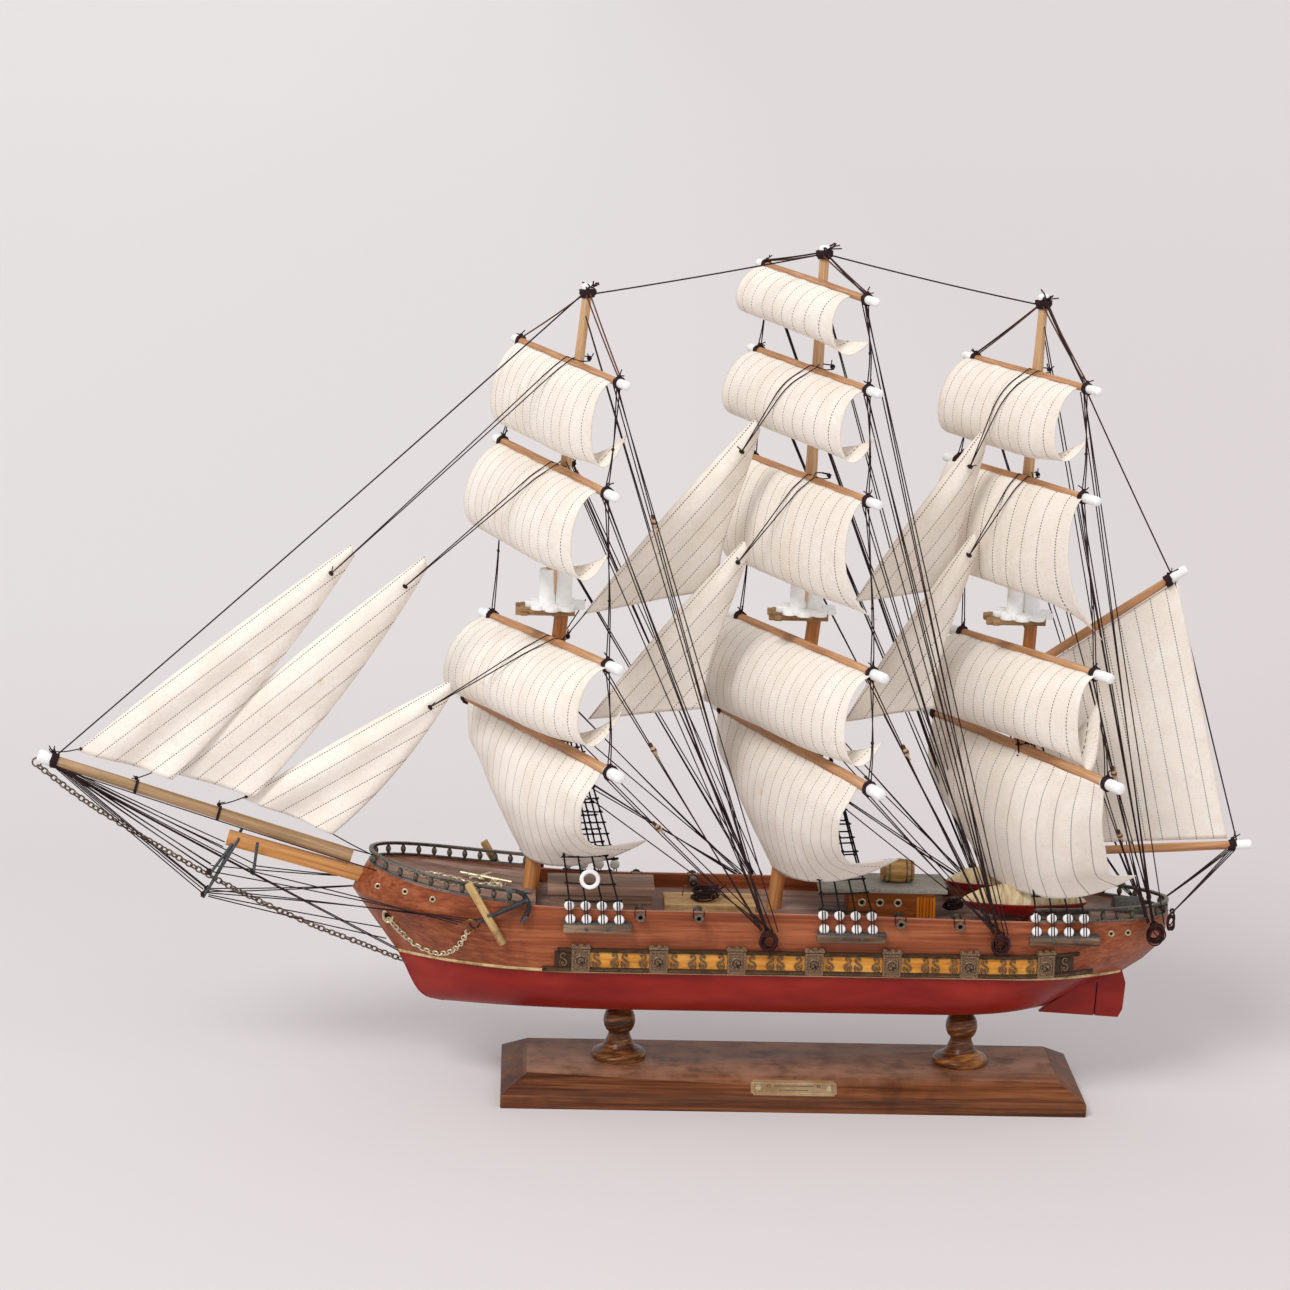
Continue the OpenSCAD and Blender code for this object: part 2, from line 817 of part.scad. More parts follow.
// side view of a sail: ahead of the yard and below it, as t runs from head to foot,
// a smooth curve led by five points
function belly(t, drop, depth, curl) =
    let (r = 1 - t,
        w = [pow(r, 4), 4 * t * pow(r, 3), 6 * pow(t * r, 2), 4 * pow(t, 3) * r, pow(t, 4)],
        ahead = [0, 0.9, 1.5, 0.75, -0.05 - 0.3 * curl],
        down = [0, 0.1, 0.7, 1.4, 1 - 0.3 * curl])
    [3 + depth * (w * ahead), -drop * (w * down)];

// sail sheet with straight sides along its yard
module square_sail(y, drop, depth, curl, reach, slide) {
    n = 18;
    line = [for (i = [0:n]) belly(i / n, drop, depth, curl)];
    normals = [for (i = [0:n])
        let (d = line[min(n, i + 1)] - line[max(0, i - 1)])
        [-d[1], d[0]] / norm(d)];
    outline = concat(
        [for (i = [0:n]) line[i] + normals[i] * cloth / 2],
        [for (i = [n:-1:0]) line[i] - normals[i] * cloth / 2]);
    translate(yard_at(y, slide - reach))
        rotate([0, 0, y[4] + 180])
            rotate([90, 0, 0])
                linear_extrude(2 * reach)
                    polygon(outline);
}

// course: both lower corners are drawn aft by their sheets, so the foot curves round
function course_mid(t) = lookup(t, [[0, 3], [0.25, 12], [0.5, 15], [0.75, 11], [1, 4]]);
function course_port(t) = lookup(t, [[0, 3], [0.25, 12.5], [0.5, 9], [0.75, -8], [1, -45]]);
function course_far(t) = lookup(t, [[0, 3], [0.25, 4], [0.5, -3], [0.75, -20], [1, -45]]);
function course_fall(t) = lookup(t, [[0, 1], [0.25, 18], [0.5, 37], [0.75, 56], [1, 74]]);
function course_edge(t) = lookup(t, [[0, 1], [0.25, 20], [0.5, 36.5], [0.75, 51], [1, 54]]);

// pull scales how far the corners are drawn, tall scales the height
function course_at(y, s, t, reach, slide, pull, tall, lift) =
    let (e = pow(abs(s), 2.2),
        mid = course_mid(t),
        edge = lerp(mid, s < 0 ? course_port(t) : course_far(t), pull))
    yard_at(y, slide + s * reach * (1 - 0.4 * pull * pow(t, 1.6)),
        lerp(mid, edge, e),
        -tall * lerp(course_fall(t), lerp(course_fall(t), course_edge(t), lift), pow(abs(s), 4)));

// thin solid between a grid of points and the same grid moved by an offset
module sheet(grid, offset) {
    rows = len(grid);
    cols = len(grid[0]);
    n = rows * cols;
    points = concat(
        [for (r = grid) for (p = r) p - offset / 2],
        [for (r = grid) for (p = r) p + offset / 2]);
    skin = [for (j = [0:rows - 2]) for (i = [0:cols - 2])
        let (a = j * cols + i, b = a + 1, c = a + cols + 1, d = a + cols)
        each [[a, b, c], [a, c, d], [n + a, n + c, n + b], [n + a, n + d, n + c]]];
    sides = [for (j = [0:rows - 2])
        let (a = j * cols, b = a + cols, c = a + cols - 1, d = c + cols)
        each [[a, b, n + b], [a, n + b, n + a], [c, n + d, d], [c, n + c, n + d]]];
    rims = [for (i = [0:cols - 2])
        let (a = i, b = i + 1, c = (rows - 1) * cols + i, d = c + 1)
        each [[a, n + b, b], [a, n + a, n + b], [c, d, n + d], [c, n + d, n + c]]];
    polyhedron(points, concat(skin, sides, rims));
}

module course_sail(y, reach, slide, pull, tall, lift) {
    color("#ede3cc")
        sheet([for (j = [0:9]) [for (i = [0:12])
            course_at(y, -1 + i / 6, j / 9, reach, slide, pull, tall, lift)]],
            [-cloth * cos(y[4]), -cloth * sin(y[4]), 0]);
}

module fore_course() {
    course_sail(YARDS[0], 90, -1, 1, 1, 1);
}

module main_course() {
    course_sail(YARDS[4], 94, 5.5, 0.92, 1.02, 1);
}

module mizzen_course() {
    course_sail(YARDS[9], 89, -1, 0.6, 1.12, 0.4);
}

module fore_topsail() {
    color("#ede3cc") square_sail(YARDS[1], 46, 27, 1, 74, 1);
}

module fore_topgallant() {
    color("#ede3cc") square_sail(YARDS[2], 49, 22, 0.7, 83, 3);
}

module fore_royal() {
    color("#ede3cc") square_sail(YARDS[3], 48, 17, 0.6, 80, 0.5);
}

module main_topsail() {
    color("#ede3cc") square_sail(YARDS[5], 51, 23, 0.8, 83, 1.5);
}

module main_topgallant() {
    color("#ede3cc") square_sail(YARDS[6], 60, 15, 0.4, 75, 3);
}

module main_royal() {
    color("#ede3cc") square_sail(YARDS[7], 37, 19, 0.8, 80, 2);
}

module main_skysail() {
    color("#ede3cc") square_sail(YARDS[8], 27, 16, 0.8, 72, 9);
}

module mizzen_upper_sails() {
    color("#ede3cc") {
        square_sail(YARDS[10], 46, 20, 1, 64, 0);
        square_sail(YARDS[11], 68, 12, 0.3, 68, 1);
        square_sail(YARDS[12], 43, 19, 0.6, 61, 5);
    }
}

// ---- fore and aft sails ----

// three-cornered sail: luff from tack to head, swelling toward port,
// with both long edges rounded outward, the after one less by hollow
function tri_at(head, tack, clew, u, v, swell, roach, hollow) =
    let (d = head - tack,
        out = [-d[2], 0, d[0]] / norm(d),
        bow = 4 * v * (1 - v) * roach,
        luff = lerp(tack, head, v) + out * bow * 0.45,
        leech = lerp(clew, head, v) - out * (bow - hollow * sin(180 * pow(v, 0.7))))
    lerp(luff, leech, u) + [0, -swell * sin(180 * u) * sin(180 * min(1, 0.12 + 0.88 * (1 - v))), 0];

module tri_sail(s, swell, roach, hollow = 0) {
    sheet([for (j = [0:7]) [for (i = [0:5])
        tri_at(s[0], s[1], s[2], i / 5, j / 7 * 0.985, swell, roach, hollow)]], [0, -cloth, 0]);
}

// head, tack and clew
JIBS = [
    [[-258.5, 0, 322.5], [-417, 0, 196.5], [-362, -6, 182]],
    [[-217, 0, 316.5], [-369.5, 0, 186.5], [-315, -6, 172]],
    [[-202, 0, 243], [-322, 0, 170], [-270, -6, 151]]
];

STAYSAILS = [
    [[-32, 0, 400], [-128, 0, 283], [-50, 7, 298]],
    [[-36, -3, 330], [-124, 0, 221], [-57, -5, 230]],
    [[97, 0, 396], [27, 0, 293.5], [86, 7, 301]],
    [[95, -3, 338], [24, 0, 222.5], [76, -5, 233]]
];

module jibs() {
    color("#ede3cc")
        for (s = JIBS)
            tri_sail(s, 7, 5);
}

module staysails() {
    color("#ede3cc")
        for (s = STAYSAILS)
            tri_sail(s, 8, 5, 9);
}

module spanker() {
    color("#ede3cc")
        sheet([for (j = [0:7]) [for (i = [0:7])
            let (u = i / 7, v = j / 7,
                low = lerp([133, 0, 151], [251.5, 0, 157], u),
                high = lerp([138, 0, 258], [213, 0, 310], u))
            lerp(low, high, v) + [0, -7 * sin(180 * u) * sin(180 * v), 0]]],
            [0, -cloth, 0]);
}

// ---- rigging ----

CAPS = [[-130, 0, 466], [2.5, 0, 491], [127.5, 0, 466]];

module line(p, q, r = thread_r) {
    rod(p, q, r);
}

// pair of threads from a mast to the head of a fore and aft sail
module halyard(head, mast) {
    for (s = [-1, 1])
        line(head + [0, s * 1.6, 0], mast + [0, s * 4, 0]);
}

module stays() {
    color("#3a2626") {
        line([-428, 0, 194.5], CAPS[0] + [-3.5, 0, -1], stay_r);
        line(CAPS[0] + [3.2, 0, 0], CAPS[1] + [-3.2, 0, 1], stay_r);
        line(CAPS[1] + [3.2, 0, 1], CAPS[2] + [-3.2, 0, 0], stay_r);
        line(CAPS[2] + [3.2, 0, -1], [214, 0, 318], stay_r);
        line([218, 0, 313], [262, 0, 157], stay_r);
        halyard([-266, 0, 314], [-143, 0, 426]);
        halyard([-224, 0, 310], [-151, 0, 369]);
        halyard([-206, 0, 240], [-153, 0, 270]);
        halyard([-41, 0, 380], [-6, 0, 427]);
        halyard([-46, -3, 316], [-9, 0, 365]);
        halyard([94, 0, 380], [117, 0, 427]);
        halyard([88, -3, 322], [114, 0, 366]);
        // fan of threads under the jibboom, forward and aft of the pins
        for (k = [0:4], s = [-1, 1])
            line([-430 + 3 * k, s * (2.4 + 0.5 * k), 188 + k],
                [-338 + 7 * k, s * (4 + 2 * k), 122 + 5 * k], 0.4);
        for (k = [0:3], s = [-1, 1])
            line([-336 + 8 * k, s * (3 + 3 * k), 119 + 4 * k],
                [-186 - 5 * k, s * (39 - k), 113 + 3 * k], 0.4);
        for (s = [-1, 1])
            line([-342, s * 1.6, 111], [-238, s * 10, 90], 0.4);
    }
}

// places where the threads of each mast are gathered, starboard side
HANKS = [[-18, 46, 104], [115.5, 44, 104], [208, 24, 106]];

// brace from a yardarm to a hank, k keeps neighbouring ends apart
module brace(yard, hank, side, k) {
    y = YARDS[yard];
    h = HANKS[hank];
    line(yard_at(y, side * (y[3] - 18), 0, -3),
        [h[0] - 3 - 2.4 * k, side * h[1], h[2] + 5 + 0.7 * k]);
}

module backstay(x, z, hank, side, k) {
    h = HANKS[hank];
    line([x, side * (4 + 0.4 * k), z], [h[0] - 1.5 + 1.6 * k, side * (h[1] - 1), h[2] + 6]);
}

module running_rigging() {
    color("#3a2626")
        for (s = [-1, 1]) {
            for (k = [0:3])
                brace(3 - k, 0, s, k);
            backstay(-131, 455, 0, s, 0);
            backstay(-140, 372, 0, s, 1);
            backstay(-146, 226, 0, s, 2);
            backstay(-149, 195, 0, s, 3);
            for (k = [0:4])
                brace(8 - k, 1, s, k);
            backstay(3, 470, 1, s, 0);
            backstay(1.5, 400, 1, s, 1);
            backstay(0, 226, 1, s, 2);
            backstay(-3, 195, 1, s, 3);
            for (k = [0:3])
                brace(12 - k, 2, s, k);
            backstay(128, 455, 2, s, 0);
            backstay(125, 372, 2, s, 1);
            // lifts between neighbouring yards
            for (i = [0, 1, 2, 4, 5, 6, 7, 9, 10, 11])
                line(yard_at(YARDS[i], s * (YARDS[i][3] - 16), 0, 3.5),
                    yard_at(YARDS[i + 1], s * (YARDS[i + 1][3] - 16), 0, -3.5));
            // sheets of the spanker boom
            line([259, s * 2.8, 151], [217, s * 12, 118]);
            line([252, s * 2.8, 150.5], [213, s * 16, 118]);
        }
}

module thread_hanks() {
    color("#4a1f1c")
        for (h = HANKS, s = [-1, 1])
            translate([h[0], s * h[1], h[2]]) {
                sphere(r = 3.6, $fn = 20);
                rotate([90, 20, 0])
                    ring(4.6, 0.9);
                translate([-3, 0, 1])
                    rotate([80, 60, 0])
                        ring(3.8, 0.8);
            }
}

stand_base();
fore_pedestal();
aft_pedestal();
name_plate();
plate_screws();
hull_bottom();
hull_topsides();
decks();
waterline_strip();
rudder_board();
gallery_frieze();
bow_rail();
stern_rail();
bowsprit();
jibboom();
martingale_pins();
hatch_block();
plank_stack();
deckhouse();
deckhouse_roof();
barrel();
boat_hulls();
boat_covers();
cannons();
companion_hood();
channel_boards();
deadeyes();
shrouds();
anchors();
anchor_stocks();
anchor_chains();
bobstay_chain();
eyelets();
life_ring();
lower_masts();
topmasts();
mast_tops();
crosstrees();
white_tips();
fore_yards();
main_yards();
mizzen_yards();
spanker_spars();
fore_course();
fore_topsail();
fore_topgallant();
fore_royal();
main_course();
main_topsail();
main_topgallant();
main_royal();
main_skysail();
mizzen_course();
mizzen_upper_sails();
jibs();
staysails();
spanker();
stays();
running_rigging();
thread_hanks();
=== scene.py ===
"""Three-masted model ship: sails, rigging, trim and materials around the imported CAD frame.

Shapes are worked out in millimetres and become metres when a piece is made.
"""

import math
import random

import bpy
import numpy as np
from mathutils import Matrix


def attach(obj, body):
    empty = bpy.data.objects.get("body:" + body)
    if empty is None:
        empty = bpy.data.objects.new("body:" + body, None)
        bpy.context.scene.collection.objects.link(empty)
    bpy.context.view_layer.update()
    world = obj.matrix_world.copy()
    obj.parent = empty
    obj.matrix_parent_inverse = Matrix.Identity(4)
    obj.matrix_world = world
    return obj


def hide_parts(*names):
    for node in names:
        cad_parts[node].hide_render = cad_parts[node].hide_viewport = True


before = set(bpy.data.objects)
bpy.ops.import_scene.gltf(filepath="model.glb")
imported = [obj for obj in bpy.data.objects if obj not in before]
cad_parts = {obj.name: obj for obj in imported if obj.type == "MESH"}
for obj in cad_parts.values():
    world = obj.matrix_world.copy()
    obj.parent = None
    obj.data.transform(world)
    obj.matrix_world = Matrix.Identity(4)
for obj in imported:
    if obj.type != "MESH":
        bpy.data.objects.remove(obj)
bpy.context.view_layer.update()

MM = 0.001
BODY = "root"
X, Y, Z = np.eye(3)
SIDES = (-1, 1)


def vec(*p):
    return np.array(p, float)


def lerp(a, b, t):
    return a + (b - a) * t


def clamp01(t):
    return min(1.0, max(0.0, t))


def unit(v):
    return v / np.linalg.norm(v)


def sin_deg(a):
    return math.sin(math.radians(a))


def cos_deg(a):
    return math.cos(math.radians(a))


def drift(rng, *spans):
    """Random vector, each part within its own span either way."""
    return vec(*[rng.uniform(-s, s) for s in spans])


def smooth_table(*rows):
    """Function through (t, value) rows, smooth and without overshoot."""
    ts, vs = zip(*rows)
    slopes = [(vs[i + 1] - vs[i]) / (ts[i + 1] - ts[i]) for i in range(len(ts) - 1)]
    inner = [0 if a * b <= 0 else 2 * a * b / (a + b) for a, b in zip(slopes, slopes[1:])]
    tangents = [slopes[0], *inner, slopes[-1]]

    def value(t):
        i = max(k for k in range(len(slopes)) if k == 0 or t >= ts[k])
        h = ts[i + 1] - ts[i]
        u = clamp01((t - ts[i]) / h)
        return (
            (1 + 2 * u) * (1 - u) ** 2 * vs[i]
            + u * (1 - u) ** 2 * h * tangents[i]
            + u * u * (3 - 2 * u) * vs[i + 1]
            + u * u * (u - 1) * h * tangents[i + 1]
        )

    return value


def fifths(*values):
    """Smooth table with its rows a quarter apart."""
    return smooth_table(*zip((0, 0.25, 0.5, 0.75, 1), values))


def spline(points, steps=6):
    """Catmull-Rom curve through points."""
    p = [np.asarray(q, float) for q in points]
    p = [2 * p[0] - p[1], *p, 2 * p[-1] - p[-2]]
    out = []
    for i in range(1, len(p) - 2):
        for t in (k / steps for k in range(steps)):
            a, b, c, d = p[i - 1 : i + 3]
            out.append(
                0.5 * (2 * b + (c - a) * t + (2 * a - 5 * b + 4 * c - d) * t * t
                       + (3 * b - a - 3 * c + d) * t ** 3)
            )
    return [*out, p[-2]]


def sagging(p, q, sag, steps=14):
    """Points of a slack line from p to q."""
    return [lerp(p, q, k / steps) - Z * sag * 4 * (k / steps) * (1 - k / steps) for k in range(steps + 1)]


def side_axes(axis):
    """Two directions square to axis."""
    a = unit(np.cross(axis, Z if abs(unit(axis)[2]) < 0.9 else X))
    return a, unit(np.cross(axis, a))


def circle(centre, a, b, radius, sides):
    """Points round centre in the plane of a and b."""
    turns = (2 * math.pi * k / sides for k in range(sides))
    return [centre + radius * (a * math.cos(w) + b * math.sin(w)) for w in turns]


# ---- materials ----


def rgba(colour):
    """Linear colour of a hex string."""
    parts = [int(colour[i : i + 2], 16) / 255 for i in (1, 3, 5)]
    return (*[c / 12.92 if c <= 0.04045 else ((c + 0.055) / 1.055) ** 2.4 for c in parts], 1.0)


class Shade:
    """One material's node tree."""

    def __init__(self, name, **sockets):
        self.mat = bpy.data.materials.new(name)
        self.mat.use_nodes = True
        self.tree = self.mat.node_tree
        self.bsdf = self.tree.nodes["Principled BSDF"]
        self.bsdf.inputs["Specular IOR Level"].default_value = 0.22
        for socket, value in sockets.items():
            self.bsdf.inputs[socket.replace("_", " ")].default_value = value

    def node(self, kind, inputs, **settings):
        n = self.tree.nodes.new("ShaderNode" + kind)
        for key, value in settings.items():
            setattr(n, key, value)
        for key, value in inputs.items():
            if isinstance(value, bpy.types.NodeSocket):
                self.tree.links.new(value, n.inputs[key])
            else:
                n.inputs[key].default_value = value
        return n

    def parts(self, vector):
        return self.node("SeparateXYZ", {0: vector}).outputs

    def coordinates(self, source):
        return self.node("TexCoord", {}).outputs[source]

    def geometry(self, what):
        return self.node("NewGeometry", {}).outputs[what]

    def space(self, scale, turn=(0, 0, 0), source="Object"):
        """Coordinates in metres times scale."""
        where = self.coordinates(source)
        if any(turn):
            angles = [math.radians(a) for a in turn]
            where = self.node("Mapping", {"Vector": where, "Rotation": angles}).outputs[0]
        scale = scale if hasattr(scale, "__len__") else (scale,) * 3
        return self.node("Mapping", {"Vector": where, "Scale": scale}).outputs[0]

    def noise(self, space, detail, rough, bend=0.0):
        """Noise over a space, or over object coordinates times a number."""
        if not isinstance(space, bpy.types.NodeSocket):
            space = self.space(space)
        inputs = {"Vector": space, "Scale": 1, "Detail": detail, "Roughness": rough, "Distortion": bend}
        return self.node("TexNoise", inputs).outputs["Fac"]

    def math(self, operation, a, b=0.0, c=0.0):
        return self.node("Math", {0: a, 1: b, 2: c}, operation=operation).outputs[0]

    def times(self, a, b):
        return self.math("MULTIPLY", a, b)

    def ramp(self, value, *stops):
        """Colour of value, from (position, hex) stops."""
        n = self.node("ValToRGB", {0: value})
        set_stops(n.color_ramp, [(position, rgba(colour)) for position, colour in stops])
        return n.outputs[0]

    def step(self, value, low, high):
        """0 under low, 1 over high."""
        inputs = {"Value": value, "From Min": low, "From Max": high}
        return self.node("MapRange", inputs, interpolation_type="SMOOTHSTEP").outputs[0]

    def mix(self, share, a, b, mode="MIX"):
        """Colour a, turned into colour b by share."""
        b = rgba(b) if isinstance(b, str) else b
        return self.node("Mix", {0: share, 6: a, 7: b}, data_type="RGBA", blend_type=mode).outputs[2]

    def set(self, socket, value):
        self.tree.links.new(value, self.bsdf.inputs[socket])

    def base(self):
        return self.bsdf.inputs["Base Color"].links[0].from_socket

    def bump(self, height, distance):
        before = self.bsdf.inputs["Normal"].links
        inputs = {"Height": height, "Distance": distance, "Strength": 1.0}
        if before:
            inputs["Normal"] = before[0].from_socket
        self.set("Normal", self.node("Bump", inputs).outputs[0])

    def worn_lit_edges(self):
        """1 on convex edges, 0 on flats and in corners."""
        return self.step(self.geometry("Pointiness"), 0.505, 0.56)

    def hollow(self):
        """1 in corners, 0 elsewhere."""
        return self.step(self.geometry("Pointiness"), 0.495, 0.44)

    def facing_up(self, low, high):
        return self.step(self.parts(self.geometry("Normal"))[2], low, high)


def set_stops(ramp, stops):
    while len(ramp.elements) < len(stops):
        ramp.elements.new(0.5)
    for element, (position, colour) in zip(ramp.elements, stops):
        element.position = position
        element.color = colour


def wood(name, dark, mid, light, stain, scale, turn=(0, 0, 0), source="Object", rough=0.5, coat=0.0,
         stain_share=0.6, pores=0.35, streak=0.5):
    """Wood whose grain runs along the axis with the small scale."""
    s = Shade(name, Coat_Weight=coat, Coat_Roughness=0.25)
    grain = lambda size, *look: s.noise(s.space([v * size for v in scale], turn, source), *look)
    fine = s.times(grain(1, 5, 0.6, 0.3), 1 - streak)
    tone = s.math("ADD", fine, s.times(grain(0.16, 3, 0.5, 0.9), streak))
    colour = s.ramp(tone, (0.36, dark), (0.5, mid), (0.64, light))
    pore = s.step(grain(3.2, 2, 0.7), 0.62, 0.7)
    colour = s.mix(s.times(pore, pores), colour, dark)
    if stain:
        blot = s.step(s.noise(s.space(26.0, source=source), 4, 0.6, 0.6), 0.5, 0.72)
        colour = s.mix(s.times(blot, stain_share), colour, stain)
    s.set("Base Color", colour)
    s.set("Roughness", s.math("MULTIPLY_ADD", tone, 0.35, rough - 0.17))
    s.bump(tone, 0.00018)
    s.bump(pore, -0.00008)
    return s


def painted(name, low, high, edge, corner_shade, scale, rough, coat=0.0, metal=0.0, edge_wear_highlight_share=0.7, grain=400.0,
            depth=0.00006):
    """Paint, plastic or metal with uneven tone, worn edges that also carry a painted highlight, and painted
    shade in the corners.
    """
    s = Shade(name, Metallic=metal, Coat_Weight=coat, Coat_Roughness=0.2)
    speck = s.noise(grain, 3, 0.6)
    colour = s.ramp(s.noise(scale, 5, 0.6, 0.4), (0.36, low), (0.64, high))
    # convex edges lighter in patches: wear, and a painted highlight where edges catch the light
    if edge:
        colour = s.mix(s.times(s.times(s.worn_lit_edges(), s.step(speck, 0.3, 0.62)), edge_wear_highlight_share), colour, edge)
    # painted shade: darker in corners and hollows
    if corner_shade:
        colour = s.mix(s.times(s.hollow(), 0.8), colour, corner_shade)
    s.set("Base Color", colour)
    s.set("Roughness", s.math("MULTIPLY_ADD", speck, 0.3, rough - 0.15))
    s.bump(speck, depth)
    return s


WOOD_LONG = (18.0, 620.0, 620.0)
ON_DOWEL = {"scale": (22.0, 650.0, 1.0), "source": "UV"}

# dark, middle and light colour, stain, and the rest of wood's settings
WOODS = {
    "walnut": ("#331B10", "#5E341C", "#86502F", "#33190E",
               dict(scale=(12, 430, 430), stain_share=0.5, streak=0.35, pores=0.65)),
    "turned_oak": ("#28150B", "#66391C", "#B57A40", "#24130B",
                   dict(scale=(80, 80, 700), turn=(12, 8, 0), rough=0.34, coat=0.25, streak=0.35)),
    "mahogany": ("#6B2F17", "#924B2A", "#AD6642", "#562411",
                 dict(scale=(12, 480, 480), rough=0.4, coat=0.12, stain_share=0.5, pores=0.5, streak=0.45)),
    "deck_wood": ("#5E463C", "#8A6B5D", "#A78A7B", "#5F473C",
                  dict(scale=WOOD_LONG, rough=0.6, stain_share=0.5)),
    "cream_strip": ("#7E6036", "#CDB27F", "#E0CB9C", "#7C5C34", dict(scale=(30, 500, 500))),
    "gold_inlay": ("#A9641C", "#D08D34", "#E5AC58", "#93531A",
                   dict(scale=(50, 600, 600), rough=0.4, stain_share=0.45, coat=0.1)),
    "bowsprit_wood": ("#9A5C2A", "#C3864B", "#D8A26A", None, dict(scale=WOOD_LONG, turn=(0, -15, 0))),
    "jibboom_wood": ("#856646", "#B08F6B", "#CDB08E", "#857050",
                     dict(scale=(14, 420, 420), turn=(0, -17.4, 0), rough=0.6, stain_share=0.5)),
    "yard_wood": ("#915E3A", "#BE8C62", "#DDB690", "#8E6644", dict(ON_DOWEL, stain_share=0.4)),
    "mast_wood": ("#B58A5E", "#D0A880", "#E4C8A8", None, dict(ON_DOWEL, rough=0.52)),
    "lower_mast_wood": ("#8C4E26", "#B57744", "#CD9560", None, dict(ON_DOWEL, rough=0.48)),
    "weathered_wood": ("#3E2E24", "#7C634E", "#A48C74", "#3C352E",
                       dict(scale=(40, 560, 560), rough=0.7, stain_share=0.8, pores=0.6)),
    "tree_wood": ("#5A432C", "#8E6C48", "#B08D66", "#57432B", dict(scale=(40, 560, 560), rough=0.65)),
    "stock_wood": ("#70522C", "#B08C56", "#CDAE7A", "#5C4530",
                   dict(scale=(500, 500, 34), turn=(0, 30, 0), rough=0.62)),
    "hatch_wood": ("#64493B", "#967664", "#B69682", "#4D3D34",
                   dict(scale=(22, 480, 480), rough=0.62, stain_share=0.55)),
    "light_wood": ("#9A7444", "#C9A272", "#DFC495", "#7E6038",
                   dict(scale=(20, 520, 520), rough=0.6, stain_share=0.5)),
    "house_orange": ("#6A3414", "#98521E", "#B86E2E", "#5E3014",
                     dict(scale=(30, 520, 520), rough=0.42, coat=0.15, stain_share=0.55)),
    "panel_orange": ("#A05510", "#D2761A", "#EA9634", None,
                     dict(scale=(520, 520, 30), rough=0.38, coat=0.15)),
    "barrel_wood": ("#84602F", "#BC9154", "#D6B47E", "#735430", dict(scale=(40, 520, 520), stain_share=0.4)),
}

# low and high colour, edge colour (wear and painted highlight), colour of the painted shade in corners,
# scale, roughness, and the rest of painted's settings
PAINTS = {
    "bronze_cast": ("#33241B", "#513B2B", "#A28468", "#1C140F", 220, 0.42,
                    dict(metal=0.25, grain=1500, depth=0.00012)),
    "bronze_mould": ("#4C3828", "#745A43", "#B89C80", "#33261B", 260, 0.42,
                     dict(metal=0.2, grain=1500, depth=0.0001)),
    "scroll_bronze": ("#33221A", "#57402F", "#8E7054", None, 260, 0.45, dict(metal=0.15, grain=1500)),
    "rail_pewter": ("#2C2722", "#504840", "#A0968A", "#1C1714", 240, 0.4,
                    dict(metal=0.4, grain=1400, depth=0.0001)),
    "grey_board": ("#7A7870", "#98948A", "#C2BCAE", None, 90, 0.6, dict(grain=900, edge_wear_highlight_share=0.4)),
    "hood_grey": ("#262524", "#444240", "#8F8D82", None, 120, 0.5, dict(grain=900, edge_wear_highlight_share=0.4)),
    "boat_red": ("#6A1010", "#8E1A18", None, "#340808", 120, 0.22, dict(coat=0.5, grain=300)),
    "dark_metal": ("#1D1F22", "#303336", "#6A6D70", None, 260, 0.45,
                   dict(metal=0.1, grain=1300, depth=0.0001)),
    "gun_metal": ("#211C19", "#43392F", "#958572", None, 260, 0.36, dict(metal=0.4, grain=1300)),
    "slot_black": ("#0A0808", "#171312", None, None, 300, 0.6, {}),
    "gilt_metal": ("#A08A62", "#D8C8A4", "#F2E8CC", "#5A401C", 400, 0.32, dict(metal=0.6, grain=1500)),
    "plate_dark": ("#3C2E1E", "#57442B", None, None, 300, 0.5, dict(metal=0.3)),
    "copper": ("#6E4428", "#9A6A42", None, None, 300, 0.4, dict(metal=0.6)),
    "white_plastic": ("#EDEDEC", "#F8F8F7", None, "#D2CFC9", 200, 0.45, dict(grain=700, depth=0.00012)),
    "block_tan": ("#9C7E5C", "#CDB494", None, "#5A4030", 500, 0.6, dict(grain=1400)),
}

THREADS = {
    "black_cord": ("#0F0D0E", "#1F1B1D"),
    "brown_thread": ("#1A1012", "#3A2526"),
    "hank_thread": ("#24120F", "#4A2826"),
    "red_thread": ("#3A1C18", "#74473A"),
}


def make_materials():
    made = {name: wood(name, *row[:-1], **row[-1]) for name, row in WOODS.items()}
    made |= {name: painted(name, *row[:-1], **row[-1]) for name, row in PAINTS.items()}
    made |= {name: thread(name, *row) for name, row in THREADS.items()}
    # painted highlight on the walnut stand's top faces
    painted_lit_tops(made["walnut"])
    # bare tops of the mahogany, lightened further as a painted highlight
    bare_lit_tops(made["mahogany"])
    made |= dict(red_paint=red_paint(), canvas=canvas_cover(), plate_brass=brushed_brass())
    made["sailcloth"] = sailcloth()
    return {name: shade.mat for name, shade in made.items()}


def painted_lit_tops(s):
    """Paler on the faces that point up, in patches of noise: a painted highlight where the top catches the
    light.
    """
    lit_top = s.times(s.facing_up(0.93, 0.99), s.step(s.noise(60.0, 3, 0.6), 0.2, 0.7))
    s.set("Base Color", s.mix(s.times(lit_top, 0.7), s.base(), "#B08064"))


def bare_lit_tops(s):
    """Lighter pink on the faces that point up: rails and ledges without stain, with a painted highlight where
    they catch the light.
    """
    s.set("Base Color", s.mix(s.times(s.facing_up(0.7, 0.9), 0.55), s.base(), "#B98672"))


